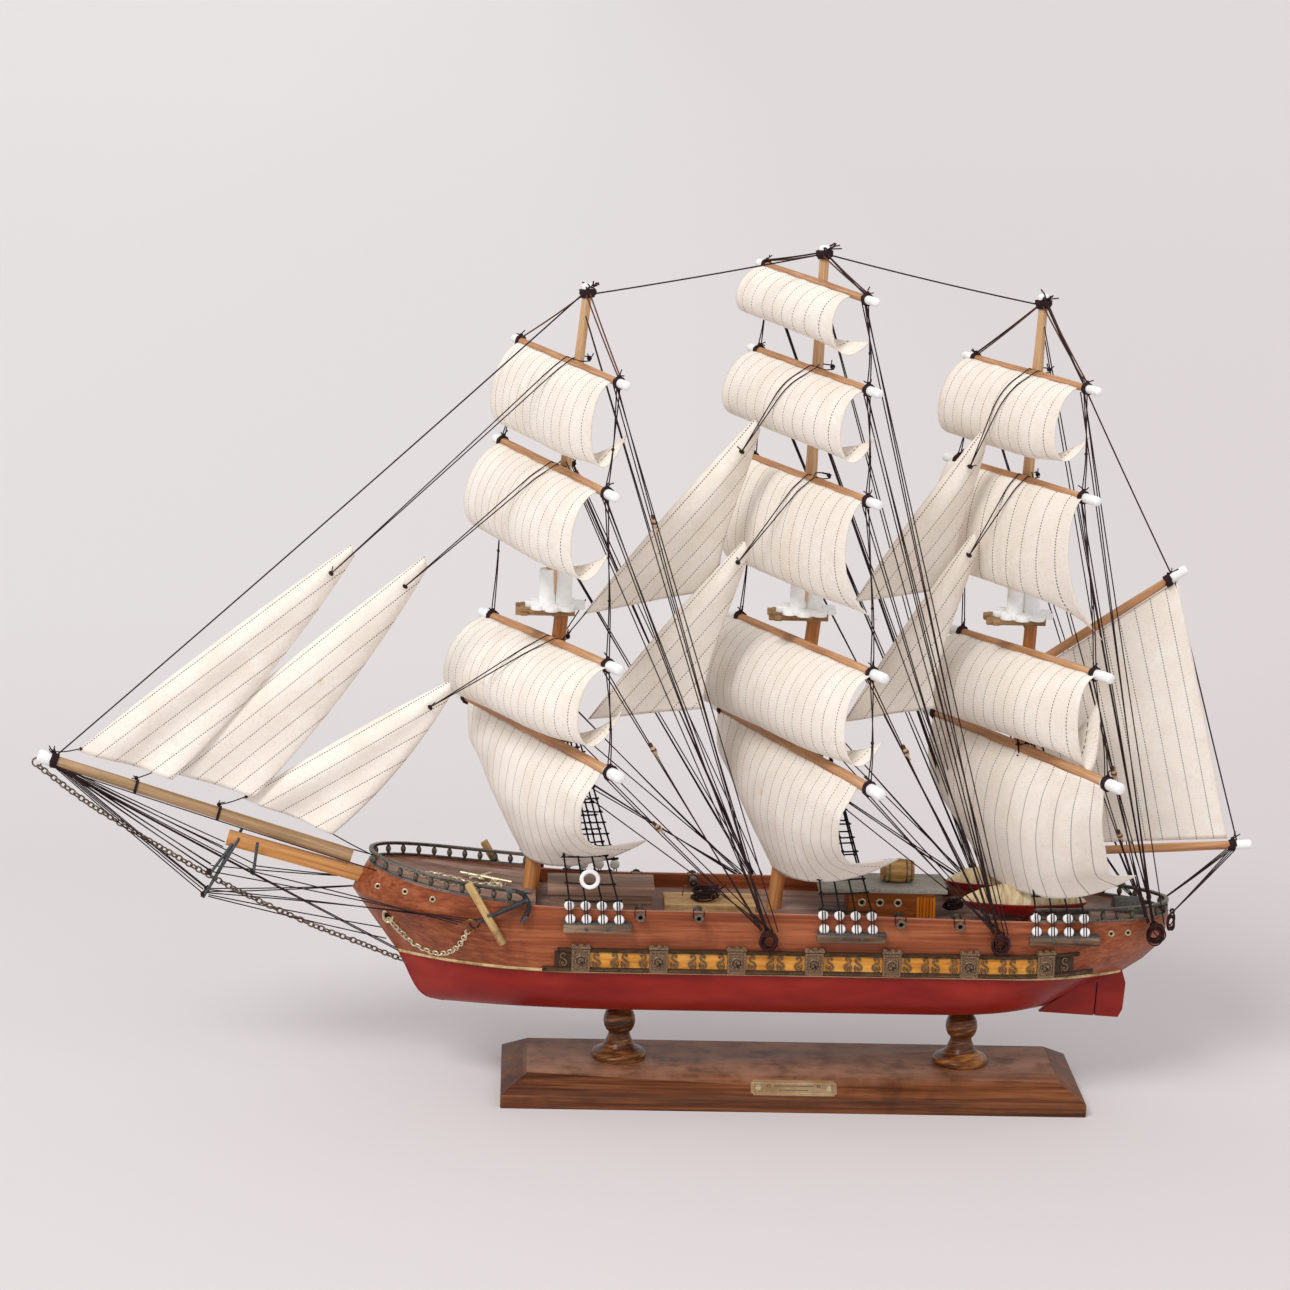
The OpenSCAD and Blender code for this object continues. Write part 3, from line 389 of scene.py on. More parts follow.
def red_paint():
    s = Shade("red_paint", Coat_Weight=0.12, Coat_Roughness=0.3)
    cloud = s.noise((20.0, 20.0, 60.0), 4, 0.55, 0.4)
    colour = s.ramp(cloud, (0.34, "#7C120B"), (0.5, "#8C1B11"), (0.68, "#99271B"))
    scratch = s.noise(s.space((300.0, 300.0, 130.0), (0, 34, 0)), 3, 0.6, 1.2)
    scratch = s.times(s.step(scratch, 0.7, 0.76), s.step(s.noise(22.0, 2, 0.5), 0.66, 0.7))
    s.set("Base Color", s.mix(s.times(scratch, 0.6), colour, "#D8A79A"))
    s.set("Roughness", s.math("MULTIPLY_ADD", cloud, 0.25, 0.3))
    s.bump(s.noise((40.0, 700.0, 700.0), 3, 0.6), 0.00006)
    return s


def canvas_cover():
    s = Shade("canvas", Roughness=0.75)
    folds = s.noise((260.0, 46.0, 46.0), 4, 0.6, 0.6)
    blot = s.step(s.noise((120.0, 50.0, 50.0), 3, 0.6, 0.8), 0.5, 0.68)
    # tone rises with the folds' height, so the creases are darker: painted shade
    colour = s.ramp(folds, (0.3, "#8A6A42"), (0.46, "#CBB68C"), (0.66, "#E2D3B2"))
    colour = s.mix(s.times(blot, 0.35), colour, "#A07C50")
    # painted shade: darker brown in the cover's corners and hollows
    s.set("Base Color", s.mix(s.times(s.hollow(), 0.6), colour, "#6B4C2C"))
    s.bump(folds, 0.0004)
    s.bump(s.noise(1600.0, 2, 0.6), 0.0001)
    return s


def brushed_brass():
    s = Shade("plate_brass", Metallic=0.85)
    lines = s.noise((60.0, 2600.0, 2600.0), 3, 0.7)
    s.set("Base Color", s.ramp(s.noise(90.0, 4, 0.6), (0.35, "#BDA27A"), (0.65, "#DDC8A2")))
    s.set("Roughness", s.math("MULTIPLY_ADD", lines, 0.3, 0.26))
    s.bump(lines, 0.00004)
    return s


# turns of a thread's strands for each metre along and around it, in radians
LAY_ALONG, LAY_AROUND = 5200.0, 4400.0


def thread(name, low, high):
    """Two-ply thread; UV runs along and around it in metres."""
    s = Shade(name, Roughness=0.8)
    along, around, _ = s.parts(s.coordinates("UV"))
    lay = s.math("ADD", s.times(along, LAY_ALONG), s.times(around, LAY_AROUND))
    twist = s.math("ABSOLUTE", s.math("SINE", lay))
    tone = s.math("MULTIPLY_ADD", s.noise(1800.0, 3, 0.6), 0.6, s.times(twist, 0.4))
    s.set("Base Color", s.ramp(tone, (0.2, low), (0.75, high)))
    s.bump(tone, 0.00025)
    return s


# metres between seams and between stitches, and the weave's radians for each metre
STITCH_GAP, STITCH_PITCH = 0.0087, 0.00165
WEAVE = 7600.0


def sailcloth():
    """Plain weave with dotted seams; UV is the flat cloth in metres, seams run along V."""
    s = Shade("sailcloth", Roughness=0.9, Sheen_Weight=0.1, Sheen_Roughness=0.5)
    u, v, _ = s.parts(s.coordinates("UV"))
    slubs = [s.noise(s.space((a, 2900.0 - a, 1.0), source="UV"), 2, 0.6) for a in (300.0, 2600.0)]
    weave = s.times(*[s.math("SINE", s.times(way, WEAVE)) for way in (u, v)])
    yarn = s.math("ADD", s.times(weave, 0.18), s.math("ADD", *slubs))
    colour = s.ramp(s.noise(38.0, 4, 0.6, 0.5), (0.32, "#EEE3D6"), (0.6, "#F6EEE4"))
    colour = s.mix(s.step(yarn, 0.9, 0.66), colour, "#DACBB6")
    spot = s.step(s.noise(64.0, 2, 0.5), 0.74, 0.79)
    colour = s.mix(s.times(spot, 0.3), colour, "#CFA763")
    turns = lambda way, length: s.math("FRACT", s.math("DIVIDE", way, length))
    across = s.math("ABSOLUTE", s.math("SUBTRACT", turns(u, STITCH_GAP), 0.5))
    dash = turns(v, STITCH_PITCH)
    dash = s.times(s.step(dash, 0.0, 0.12), s.step(dash, 0.68, 0.56))
    faded = s.step(s.noise(300.0, 2, 0.5), 0.25, 0.5)
    stitch = s.times(s.times(s.step(across, 0.034, 0.020), dash), s.math("MULTIPLY_ADD", faded, 0.35, 0.6))
    s.set("Base Color", s.mix(stitch, colour, "#3E342C"))
    s.bump(yarn, 0.00012)
    s.bump(s.step(across, 0.07, 0.0), -0.00012)
    return s


# ---- meshes ----


class Heap:
    """Faces of one piece, in millimetres, with UV in metres."""

    def __init__(self):
        self.points, self.faces, self.uv = [], [], []

    def add(self, points, faces, uv=None):
        start = len(self.points)
        self.points.extend(points)
        for face in faces:
            self.faces.append([start + i for i in face])
            self.uv.extend(uv[i] if uv is not None else (points[i][0] * MM, points[i][2] * MM) for i in face)

    def join(self, a, b, i, k, along, around):
        """Quad from corners i and k of one ring to those of the next; a and b are the rings' first points."""
        self.faces.append([a + i[0], a + i[1], b + k[1], b + k[0]])
        (d0, d1), (v0, v1) = along, around
        self.uv.extend([(d0, v0), (d0, v1), (d1, v1), (d1, v0)])

    def skin(self, rings, caps=True, girth=None):
        """Closed rings joined one to the next."""
        n = len(rings[0])
        start = len(self.points)
        for ring in rings:
            self.points.extend(ring)
        girth = girth or n * 0.8
        steps = [np.linalg.norm(np.mean(b, 0) - np.mean(a, 0)) for a, b in zip(rings, rings[1:])]
        dist = np.cumsum([0] + steps)
        for j in range(len(rings) - 1):
            for i in range(n):
                pair = (i, (i + 1) % n)
                along = (dist[j] * MM, dist[j + 1] * MM)
                around = (i / n * girth * MM, (i + 1) / n * girth * MM)
                self.join(start + j * n, start + (j + 1) * n, pair, pair, along, around)
        if caps:
            last = start + (len(rings) - 1) * n
            for face in ([start + n - 1 - i for i in range(n)], [last + i for i in range(n)]):
                self.faces.append(face)
                self.uv.extend((self.points[i][1] * MM, self.points[i][2] * MM) for i in face)

    def hoop(self, rings, girth):
        """Closed rings joined one to the next, and the last to the first."""
        n, m = len(rings[0]), len(rings)
        start = len(self.points)
        shift = min(range(n), key=lambda s: np.linalg.norm(rings[-1][s] - rings[0][0]))
        for ring in rings:
            self.points.extend(ring)
        length = 0.0
        for j in range(m):
            k = (j + 1) % m
            turn = 0 if k else shift
            step = np.linalg.norm(np.mean(rings[k], 0) - np.mean(rings[j], 0))
            for i in range(n):
                pair = ((i + turn) % n, (i + 1 + turn) % n)
                along = (length * MM, (length + step) * MM)
                around = (i / n * girth * MM, (i + 1) / n * girth * MM)
                self.join(start + j * n, start + k * n, pair, (i, (i + 1) % n), along, around)
            length += step

    def tube(self, path, radius, sides=8, loop=False):
        """Round bar along a path; radius is one number or one for each point."""
        path = [np.asarray(p, float) for p in path]
        n = len(path)
        radii = radius if hasattr(radius, "__len__") else [radius] * n
        if loop:
            tangents = [unit(path[(i + 1) % n] - path[i - 1]) for i in range(n)]
        else:
            tangents = [unit(path[min(n - 1, i + 1)] - path[max(0, i - 1)]) for i in range(n)]
        a = side_axes(tangents[0])[0]
        rings = []
        for p, r, d in zip(path, radii, tangents):
            a = unit(a - d * (a @ d))
            rings.append(circle(p, a, np.cross(d, a), r, sides))
        girth = 2 * math.pi * max(radii)
        if loop:
            self.hoop(rings, girth)
        else:
            self.skin(rings, True, girth)

    def ring(self, centre, axis, radius, wire, steps=20, sides=8, tall=1.0):
        """Torus, or an oval link when tall is not 1."""
        a, b = side_axes(axis)
        self.tube(circle(vec(*centre), a, b * tall, radius, steps), wire, sides, True)

    def coil(self, centre, axis, radius, wire, turns, spread, wobble=0.0, seed=1):
        """Thread wound round an axis."""
        a, b = side_axes(axis)
        rng = random.Random(seed)
        steps = int(turns * 14)
        path = []
        for k in range(steps + 1):
            w = 2 * math.pi * turns * k / steps
            r = radius + rng.uniform(-wobble, wobble)
            path.append(
                centre + r * (a * math.cos(w) + b * math.sin(w))
                + unit(axis) * (spread * (k / steps - 0.5) + rng.uniform(-wobble, wobble) * 0.6)
            )
        self.tube(path, wire, 6)

    def lathe(self, profile, centre, axis=Z, sides=32):
        """Turned shape; profile is (radius, distance along axis)."""
        a, b = side_axes(axis)
        rings = [circle(vec(*centre) + unit(axis) * h, a, b, max(r, 0.01), sides) for r, h in profile]
        self.skin(rings, True, 2 * math.pi * max(r for r, _ in profile))

    def ball(self, centre, radius, sides=14):
        rings = 7
        angles = [180 * (k + 0.15) / (rings + 0.3) for k in range(rings + 1)]
        self.lathe([(radius * sin_deg(a), -radius * cos_deg(a)) for a in angles], centre, Z, sides)

    def box(self, centre, size, turn=None, soft=0.12):
        """Block with softened edges; turn is a rotation matrix."""
        h = np.asarray(size, float) / 2
        e = min(soft, min(h) * 0.6)
        outline = []
        for sx, sy in ((-1, -1), (1, -1), (1, 1), (-1, 1)):
            near, far = (sx * (h[0] - e), sy * h[1]), (sx * h[0], sy * (h[1] - e))
            outline.extend([far, near] if sx * sy > 0 else [near, far])
        turn = np.eye(3) if turn is None else turn
        centre = np.asarray(centre, float)
        self.skin([
            [centre + turn @ vec(x * (1 - inset / h[0]), y * (1 - inset / h[1]), z) for x, y in outline]
            for z, inset in ((-h[2], e), (-h[2] + e, 0), (h[2] - e, 0), (h[2], e))
        ])

    def piece(self, name, material, slot, *nodes, angle=40.0):
        mesh = bpy.data.meshes.new(name)
        mesh.from_pydata([tuple(float(c) * MM for c in p) for p in self.points], [], self.faces)
        layer = mesh.uv_layers.new(name="flat")
        layer.data.foreach_set("uv", np.array(self.uv, np.float32).ravel())
        mesh.validate()
        obj = add_object(name, mesh)
        mesh.materials.append(MATERIALS[material])
        smooth_by_angle(mesh, angle)
        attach(obj, BODY)
        if nodes:
            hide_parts(*nodes)
        return obj


def add_object(name, data):
    obj = bpy.data.objects.new(name, data)
    bpy.context.scene.collection.objects.link(obj)
    return obj


def heaps(count):
    return [Heap() for _ in range(count)]


def grid(rows, cols):
    """Quads between rows of cols points."""
    return [
        [j * cols + i, j * cols + i + 1, (j + 1) * cols + i + 1, (j + 1) * cols + i]
        for j in range(rows - 1) for i in range(cols - 1)
    ]


def smooth_by_angle(mesh, angle):
    mesh.polygons.foreach_set("use_smooth", [True] * len(mesh.polygons))
    mesh.set_sharp_from_angle(angle=math.radians(angle))


SPLIT_ANGLE = math.radians(35)


def dress(node, material, bevel):
    """Gives a kept CAD node its material, shared vertices and softened edges."""
    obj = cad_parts[node]
    mesh = obj.data
    mesh.materials.clear()
    mesh.materials.append(MATERIALS[material])
    for polygon in mesh.polygons:
        polygon.material_index = 0
    normals = mesh.attributes.get("custom_normal")
    if normals:
        mesh.attributes.remove(normals)
    mesh.polygons.foreach_set("use_smooth", [True] * len(mesh.polygons))
    obj.modifiers.new("weld", "WELD").merge_threshold = 0.00001
    if bevel:
        edge = obj.modifiers.new("bevel", "BEVEL")
        edge.width = bevel * MM
        edge.segments = 2
        edge.limit_method = "ANGLE"
        edge.angle_limit = SPLIT_ANGLE
        edge.harden_normals = False
    split = obj.modifiers.new("split", "EDGE_SPLIT")
    split.split_angle = SPLIT_ANGLE
    split.use_edge_sharp = False


# ---- hull shape, as in the CAD model ----

KEEL_Z = 52.5
FORECASTLE_X, POOP_X = -152, 134
WAIST = 9
DECK_Z = 110.2

LEVELS = (0, 0.06, 0.2, 0.45, 0.7, 1)
low_fore = smooth_table(*zip(LEVELS, (-205, -214, -219.5, -224, -227.5, -232)))
low_aft = smooth_table(*zip(LEVELS, (148, 151, 158, 169, 181, 194)))
low_half = smooth_table(*zip(LEVELS, (18, 26, 34, 39.5, 41.5, 42)))


def strake_z(x):
    return 82.5 - 2 * (max(0, -x - 150) / 82) ** 2 - 0.9 * (max(0, x - 110) / 30) ** 2


def sheer_z(x):
    return 118.5 + 15.3 * ((-x - 100) / 145) ** 2 if x < -100 else 118.5 - 0.00006 * (x + 100) ** 2


def keel_line(x):
    return KEEL_Z - 2.6 * clamp01((-x - 135) / 70) ** 1.5


def top_fore(t):
    return float(np.interp(t, [0, 0.25, 0.5, 0.68, 0.85, 1], [-232, -241, -251, -258.5, -254, -249.5]))


def top_aft(t):
    return float(np.interp(t, [0, 0.25, 0.5, 0.68, 1], [194, 205.5, 214.5, 218, 219.5]))


def low_breadth(x, t):
    u = clamp01((x - low_fore(t)) / 112)
    w = clamp01((low_aft(t) - x) / 78)
    return max(0.5, low_half(t) * (1 - (1 - u) ** 2.3) * (1 - (1 - w) ** lerp(3.2, 2, t)))


def top_breadth(x, t, inset=0.0):
    u = clamp01((x - top_fore(t) - inset) / lerp(112, 100, t))
    w = clamp01((top_aft(t) - inset - x) / lerp(78, 130, t))
    power = lerp(1, 0.5, t)
    half = float(np.interp(t, [0, 0.4, 1], [42, 42, 41])) - inset
    return max(0.5, half * (1 - (1 - u) ** 2.4) ** power * (1 - (1 - w) ** 2.1) ** power)


MIDDLE = [-155, -152.3, -151.7, -148, *np.linspace(-140, 125, 30), 131, 133.7, 134.3]


def stations(fore, aft, ends=18):
    """Places along the hull, close together at both ends and at the deck breaks."""
    first = [fore + (MIDDLE[0] - fore) * (1 - cos_deg(90 * i / ends)) for i in range(ends)]
    last = [aft + (MIDDLE[-1] - aft) * (1 - cos_deg(90 * i / ends)) for i in range(ends - 1, -1, -1)]
    return [*first, *MIDDLE, *last]


def hull_ring(fore, aft, half, height):
    """Outline of the hull at one level, down the port side and back up the other."""
    port = [vec(x, -half(x), height(x)) for x in stations(fore, aft)]
    return [*port, *[p * vec(1, -1, 1) for p in reversed(port)]]


def low_ring(t):
    return hull_ring(low_fore(t), low_aft(t), lambda x: low_breadth(x, t),
                     lambda x: lerp(keel_line(x), strake_z(x), t))


def top_ring(t):
    return hull_ring(top_fore(t), top_aft(t), lambda x: top_breadth(x, t),
                     lambda x: lerp(strake_z(x), sheer_z(x), t))


def inner_ring(drop, inset=3):
    deck = lambda x: WAIST if FORECASTLE_X < x < POOP_X else 1.5
    return hull_ring(top_fore(1) + inset, top_aft(1) - inset, lambda x: top_breadth(x, 1, inset),
                     lambda x: sheer_z(x) - drop * deck(x))


def strip_cap(rings, heap):
    """Loft of hull rings, closed below and above by rows of quads between the two sides."""
    n, m = len(rings[0]), len(rings)
    faces = [
        [j * n + i, j * n + (i + 1) % n, (j + 1) * n + (i + 1) % n, (j + 1) * n + i]
        for j in range(m - 1) for i in range(n)
    ]
    e = (m - 1) * n
    for i in range(n // 2 - 1):
        faces.append([i, n - 1 - i, n - 2 - i, i + 1])
        faces.append([e + i, e + i + 1, e + n - 2 - i, e + n - 1 - i])
    heap.add([p for ring in rings for p in ring], faces)


GUN_X = [-92, -58.5, 57.5, 91.5]
GUN_SLOT = [(-3.3, 6.5), *[(3.3 * cos_deg(a), 3.3 * sin_deg(a)) for a in range(180, 361, 20)], (3.3, 6.5)]


def make_hull():
    low, top, slots, liner = heaps(4)
    levels = (0, 0.02, 0.045, 0.08, 0.12, 0.17, 0.23, 0.3, 0.38, 0.47, 0.57, 0.68, 0.79, 0.9, 1)
    strip_cap([low_ring(t) for t in levels], low)
    low.piece("red_bottom", "red_paint", "red_paint", "hull_bottom", angle=50)
    rings = [top_ring(t) for t in (0, 0.08, 0.16, 0.25, 0.33, 0.42, 0.5, 0.59, 0.68, 0.76, 0.85, 0.93, 0.985)]
    rings += [[p + Z * -0.1 for p in inner_ring(0, 0.35)], inner_ring(0, 0.9), inner_ring(0, 2.4),
              inner_ring(0.06), inner_ring(0.5), inner_ring(1)]
    strip_cap(rings, top)
    sides = top.piece("mahogany_sides", "mahogany", "mahogany", "hull_topsides", angle=38)
    inner = [(a * 0.86, b * 0.86 if b < 0 else min(b, 2.6)) for a, b in GUN_SLOT]
    u_shape = [*[(a, b if b < 0 else min(b, 2.6)) for a, b in GUN_SLOT], *reversed(inner)]
    n = len(u_shape)
    walls = [
        *[[i, (i + 1) % n, n + (i + 1) % n, n + i] for i in range(n)],
        *[[i + 1, i, n - 1 - i, n - 2 - i] for i in range(n // 2 - 1)],
        *[[n + i, n + i + 1, 2 * n - 2 - i, 2 * n - 1 - i] for i in range(n // 2 - 1)],
    ]
    for x in GUN_X:
        for side in SIDES:
            place = lambda p, y: vec(x + p[0], y, sheer_z(x) - 2.4 + p[1])
            slots.skin([[place(p, y) for p in GUN_SLOT] for y in sorted((side * 33, side * 47))])
            hull = top_breadth(x, 0.95)
            reach = sorted((side * (hull - 2.6), side * (hull + 0.25)))
            liner.add([place(p, y) for y in reach for p in u_shape], walls)
    cut_slots(sides, slots.piece("slot_cutter", "slot_black", "mahogany"))
    liner.piece("gun_slots", "slot_black", "dark_metal")
    make_strip()


def cut_slots(sides, cutter):
    cut = sides.modifiers.new("slots", "BOOLEAN")
    cut.operation = "DIFFERENCE"
    cut.solver = "EXACT"
    cut.object = cutter
    bpy.context.view_layer.update()
    whole = bpy.data.meshes.new_from_object(sides.evaluated_get(bpy.context.evaluated_depsgraph_get()))
    sides.modifiers.clear()
    sides.data = whole
    whole.materials.clear()
    whole.materials.append(MATERIALS["mahogany"])
    smooth_by_angle(whole, 38)
    bpy.data.objects.remove(cutter)


STRIP = ((-0.9, -0.9), (0.5, -0.85), (0.8, -0.45), (0.85, 0.3), (0.55, 0.8), (-0.9, 0.9))


def make_strip():
    heap = Heap()
    for side in SIDES:
        xs = [lerp(-231.6, 193, (1 - cos_deg(180 * i / 80)) / 2) for i in range(81)]
        place = lambda x, out, up: vec(x, side * (top_breadth(x, 0) + 0.1 + out), strake_z(x) + up)
        heap.skin([[place(x, *p) for p in STRIP] for x in xs])
    heap.piece("cream_seam", "cream_strip", "cream_strip", "waterline_strip")


# ---- frieze ----

BAY = 44.7
PANEL_X = [-125.5 + BAY * i for i in range(7)]
FRIEZE_Z = 89.6
# share of the way up the topsides whose outline the frieze follows
FRIEZE_LEVEL = 0.25
SCROLL = [(0.3, -1.7), (-0.5, -1.5), (-0.6, -2.6), (0.5, -3.4), (1.9, -2.7), (2.1, -1.0), (0.8, 0.3),
          (-0.6, 1.1), (-1.3, 2.3), (-0.6, 3.7), (0.7, 4.0), (1.5, 3.2), (1.0, 2.4)]
LOWER_MOULD = [(0, -7.1), (1.6, -7.1), (2.3, -6.7), (2.2, -6.1), (1.5, -5.8), (1.9, -5.2), (1.3, -4.5),
               (0, -4.4)]
UPPER_MOULD = [(0, 4.6), (1.3, 4.6), (1.8, 5.1), (1.4, 5.6), (2.3, 6.1), (2.2, 6.9), (0, 7.0)]
FIELD = [(0, -4.6), (0.7, -4.6), (0.7, 4.8), (0, 4.8)]
ROSETTE = [(3.5, 0), (3.6, 0.5), (3.0, 0.9), (2.4, 0.8), (2.0, 1.3), (1.3, 1.6), (0.6, 1.5)]


def frieze_point(x, h, out, side):
    return vec(x, side * (top_breadth(x, FRIEZE_LEVEL) + 0.4 + out), FRIEZE_Z + h)


def frieze_run(heap, outline, low, high, side):
    count = max(2, int((high - low) / 3))
    xs = [lerp(low, high, i / count) for i in range(count + 1)]
    heap.skin([[frieze_point(x, h, out, side) for out, h in outline] for x in xs])


def add_scroll(heap, x, flip, side):
    at = lambda p, h, out: frieze_point(x + flip * p, h, out, side)
    path = spline([at(p, h, 1.15) for p, h in SCROLL], 4)
    heap.tube(path, [lerp(0.38, 0.62, math.sin(math.pi * k / (len(path) - 1))) for k in range(len(path))], 7)
    heap.ball(at(0.3, -1.9, 1.1), 0.62)
    heap.ball(at(0.9, 2.6, 1.1), 0.5)
    heap.tube(spline([at(-1.2, -4.2, 1.0), at(-1.9, -2.2, 1.1), at(-1.4, -0.4, 1.0)], 4), 0.34, 6)


def add_panel(panels, holes, x, side, rng):
    """Cast block with a rosette, a nail hole and a notched top."""
    run = top_breadth(x + 3, FRIEZE_LEVEL) - top_breadth(x - 3, FRIEZE_LEVEL)
    along = unit(vec(6, side * run, 0))
    turn = np.column_stack([along, unit(np.cross(Z, along)), Z])
    outward = vec(0, side, 0)
    at = lambda p, h, out: frieze_point(x, h, out, side) + turn[:, 0] * p
    panels.box(at(0, 0.2, 1.0), (10.6, 2.4, 13.6), turn, 0.3)
    for p in (-4.6, 4.6):
        panels.box(at(p, 0.2, 2.4), (1.3, 1.2, 13.4), turn, 0.25)
    for h in (-5.9, 6.1):
        panels.box(at(0, h, 2.4), (9.0, 1.2, 1.5), turn, 0.25)
    panels.box(at(0, 7.9, 1.8), (11.6, 3.4, 1.6), turn, 0.3)
    for p in (-4.2, 0.2, 4.0):
        panels.box(at(p, 9.0 + rng.uniform(-0.2, 0.2), 1.7), (2.6, 2.8, 1.4), turn, 0.4)
    panels.lathe(ROSETTE, at(0, -0.2, 2.2), outward, 20)
    for w in range(0, 360, 45):
        panels.ball(at(2.9 * cos_deg(w), -0.2 + 2.9 * sin_deg(w), 2.6), 0.7, 8)
    # black disc for the nail hole: painted shade where the hole is dark
    holes.lathe([(0.7, 0), (0.7, 0.35)], at(0.5, -0.9, 3.6), outward, 12)
    for p in (-3.6, 3.6):
        for h in (-4.6, 4.4):
            panels.ball(at(p, h, 2.3), 0.6, 8)


def make_frieze():
    frames, inlay, scrolls, panels, holes = heaps(5)
    rng = random.Random(3)
    edges = [-146, *PANEL_X, 165]
    for side in SIDES:
        frieze_run(frames, LOWER_MOULD, -147.5, 172, side)
        frieze_run(frames, UPPER_MOULD, -139, 163, side)
        for i in range(8):
            a, b = edges[i] + 5.4, edges[i + 1] - 5.4
            frieze_run(inlay if 0 < i < 7 else frames, FIELD, a, b, side)
            for share, flip in ((0.1, 1), (0.42, -1), (0.58, 1), (0.9, -1)) if b - a > 20 else ((0.5, 1),):
                add_scroll(scrolls, lerp(a, b, share), flip, side)
        for x in PANEL_X:
            add_panel(panels, holes, x, side, rng)
    frames.piece("frieze_mouldings", "bronze_mould", "bronze_cast", "gallery_frieze", angle=50)
    inlay.piece("frieze_inlay", "gold_inlay", "bronze_cast")
    scrolls.piece("frieze_scrolls", "scroll_bronze", "bronze_cast", angle=60)
    panels.piece("frieze_panels", "bronze_cast", "bronze_cast")
    holes.piece("frieze_nail_holes", "slot_black", "bronze_cast")


# ---- masts and yards ----

# mast, x, z, half length, turn in degrees, radius, shift along itself
YARDS = [
    ("fore", -154.5, 212.5, 110.5, 25, 3.2, -2), ("fore", -150, 268, 84.5, 28, 3, -5),
    ("fore", -147.3, 368, 103, 19.2, 2.7, 0), ("fore", -140, 428.5, 98, 18.6, 2.4, 0),
    ("main", -11.8, 210.7, 112.5, 21.2, 3.2, -17), ("main", -5, 269.3, 93, 24.6, 3, -9),
    ("main", -7.6, 366.5, 87, 21.9, 2.6, -14), ("main", -5.4, 428, 93.5, 18.7, 2.5, -8.5),
    ("main", -3.8, 477.3, 95, 16.1, 2.3, -4.5), ("mizzen", 119.2, 212.4, 103, 25.6, 3.2, -13),
    ("mizzen", 121.3, 267.6, 75, 31.1, 2.9, -11), ("mizzen", 116.5, 367.9, 79, 25.8, 2.6, -4),
    ("mizzen", 119.7, 428.5, 75, 22.9, 2.3, -4),
]
TIP = 14
GAFF = [vec(131.5, 0, 257.5), vec(215.5, 0, 315.3)]
BOOM = [vec(127, 0, 145.5), vec(264, 0, 153.6)]
LOWER_MASTS = [((-156, 0, 108), (-139.8, 0, 292)), ((-12.8, 0, 108), (5.6, 0, 292)),
               ((123, 0, 110), (130.2, 0, 292))]
TOPMASTS = [((-147.6, 0, 294), (-130.2, 0, 467)), ((-2, 0, 294), (2.5, 0, 492)),
            ((120.8, 0, 294), (127.4, 0, 467))]
CAPS = [vec(-130, 0, 466), vec(2.5, 0, 491), vec(127.5, 0, 466)]


def yard_at(y, s, f=0.0, h=0.0):
    """Point s along a yard, f ahead of it and h above it."""
    a = math.radians(y[4])
    along = s + y[6]
    return vec(
        y[1] - along * math.sin(a) - f * math.cos(a), along * math.cos(a) - f * math.sin(a), y[2] + h
    )


def spar(heap, p, q, r1, r2, seed, thick_middle=0.0):
    """Hand-rounded dowel, slightly uneven."""
    rng = random.Random(seed)
    steps = 26
    swells = [(rng.uniform(0.5, 3), rng.uniform(0, 6.3), rng.uniform(0.01, 0.03)) for _ in range(4)]
    radii = []
    for t in (k / steps for k in range(steps + 1)):
        wobble = sum(a * math.sin(f * 6.3 * t + ph) for f, ph, a in swells)
        radii.append((lerp(r1, r2, t) + thick_middle * math.sin(math.pi * t)) * (1 + wobble))
    d = unit(q - p)
    heap.tube(
        [p, p + d * 0.5, *[lerp(p, q, k / steps) for k in range(1, steps)], q - d * 0.5, q],
        [radii[0] * 0.86, *radii, radii[-1] * 0.86], 20,
    )


def make_tips():
    """White painted ends of the yards, masts and booms."""
    heap = Heap()
    ends = []
    for y in YARDS:
        for side in SIDES:
            long = TIP + (3 if side < 0 and y[3] > 90 else 0)
            ends.append((yard_at(y, side * (y[3] - long)), yard_at(y, side * y[3]), y[5] + 0.1))
    mastheads = ((-130.2, 466.5), (2.5, 491), (127.4, 466.5))
    ends += [(vec(x, 0, z), vec(x, 0, z + 6.5), 3.3) for x, z in mastheads]
    ends += [(vec(-432, 0, 190.7), vec(-440, 0, 193.3), 4.0), (vec(209, 0, 310.8), vec(218, 0, 317), 2.8),
             (vec(256, 0, 153.1), vec(266, 0, 153.7), 2.8)]
    for p, q, r in ends:
        n = np.linalg.norm(q - p)
        dipped = [(r - 0.2, 0), (r, 0.3), (r * 1.02, n * 0.5), (r, n - 1.6)]
        heap.lathe([*dipped, (r * 0.9, n - 0.7), (r * 0.6, n - 0.1), (0.1, n)], p, q - p, 24)
    heap.piece("painted_tips", "white_plastic", "white_plastic", "white_tips", angle=60)


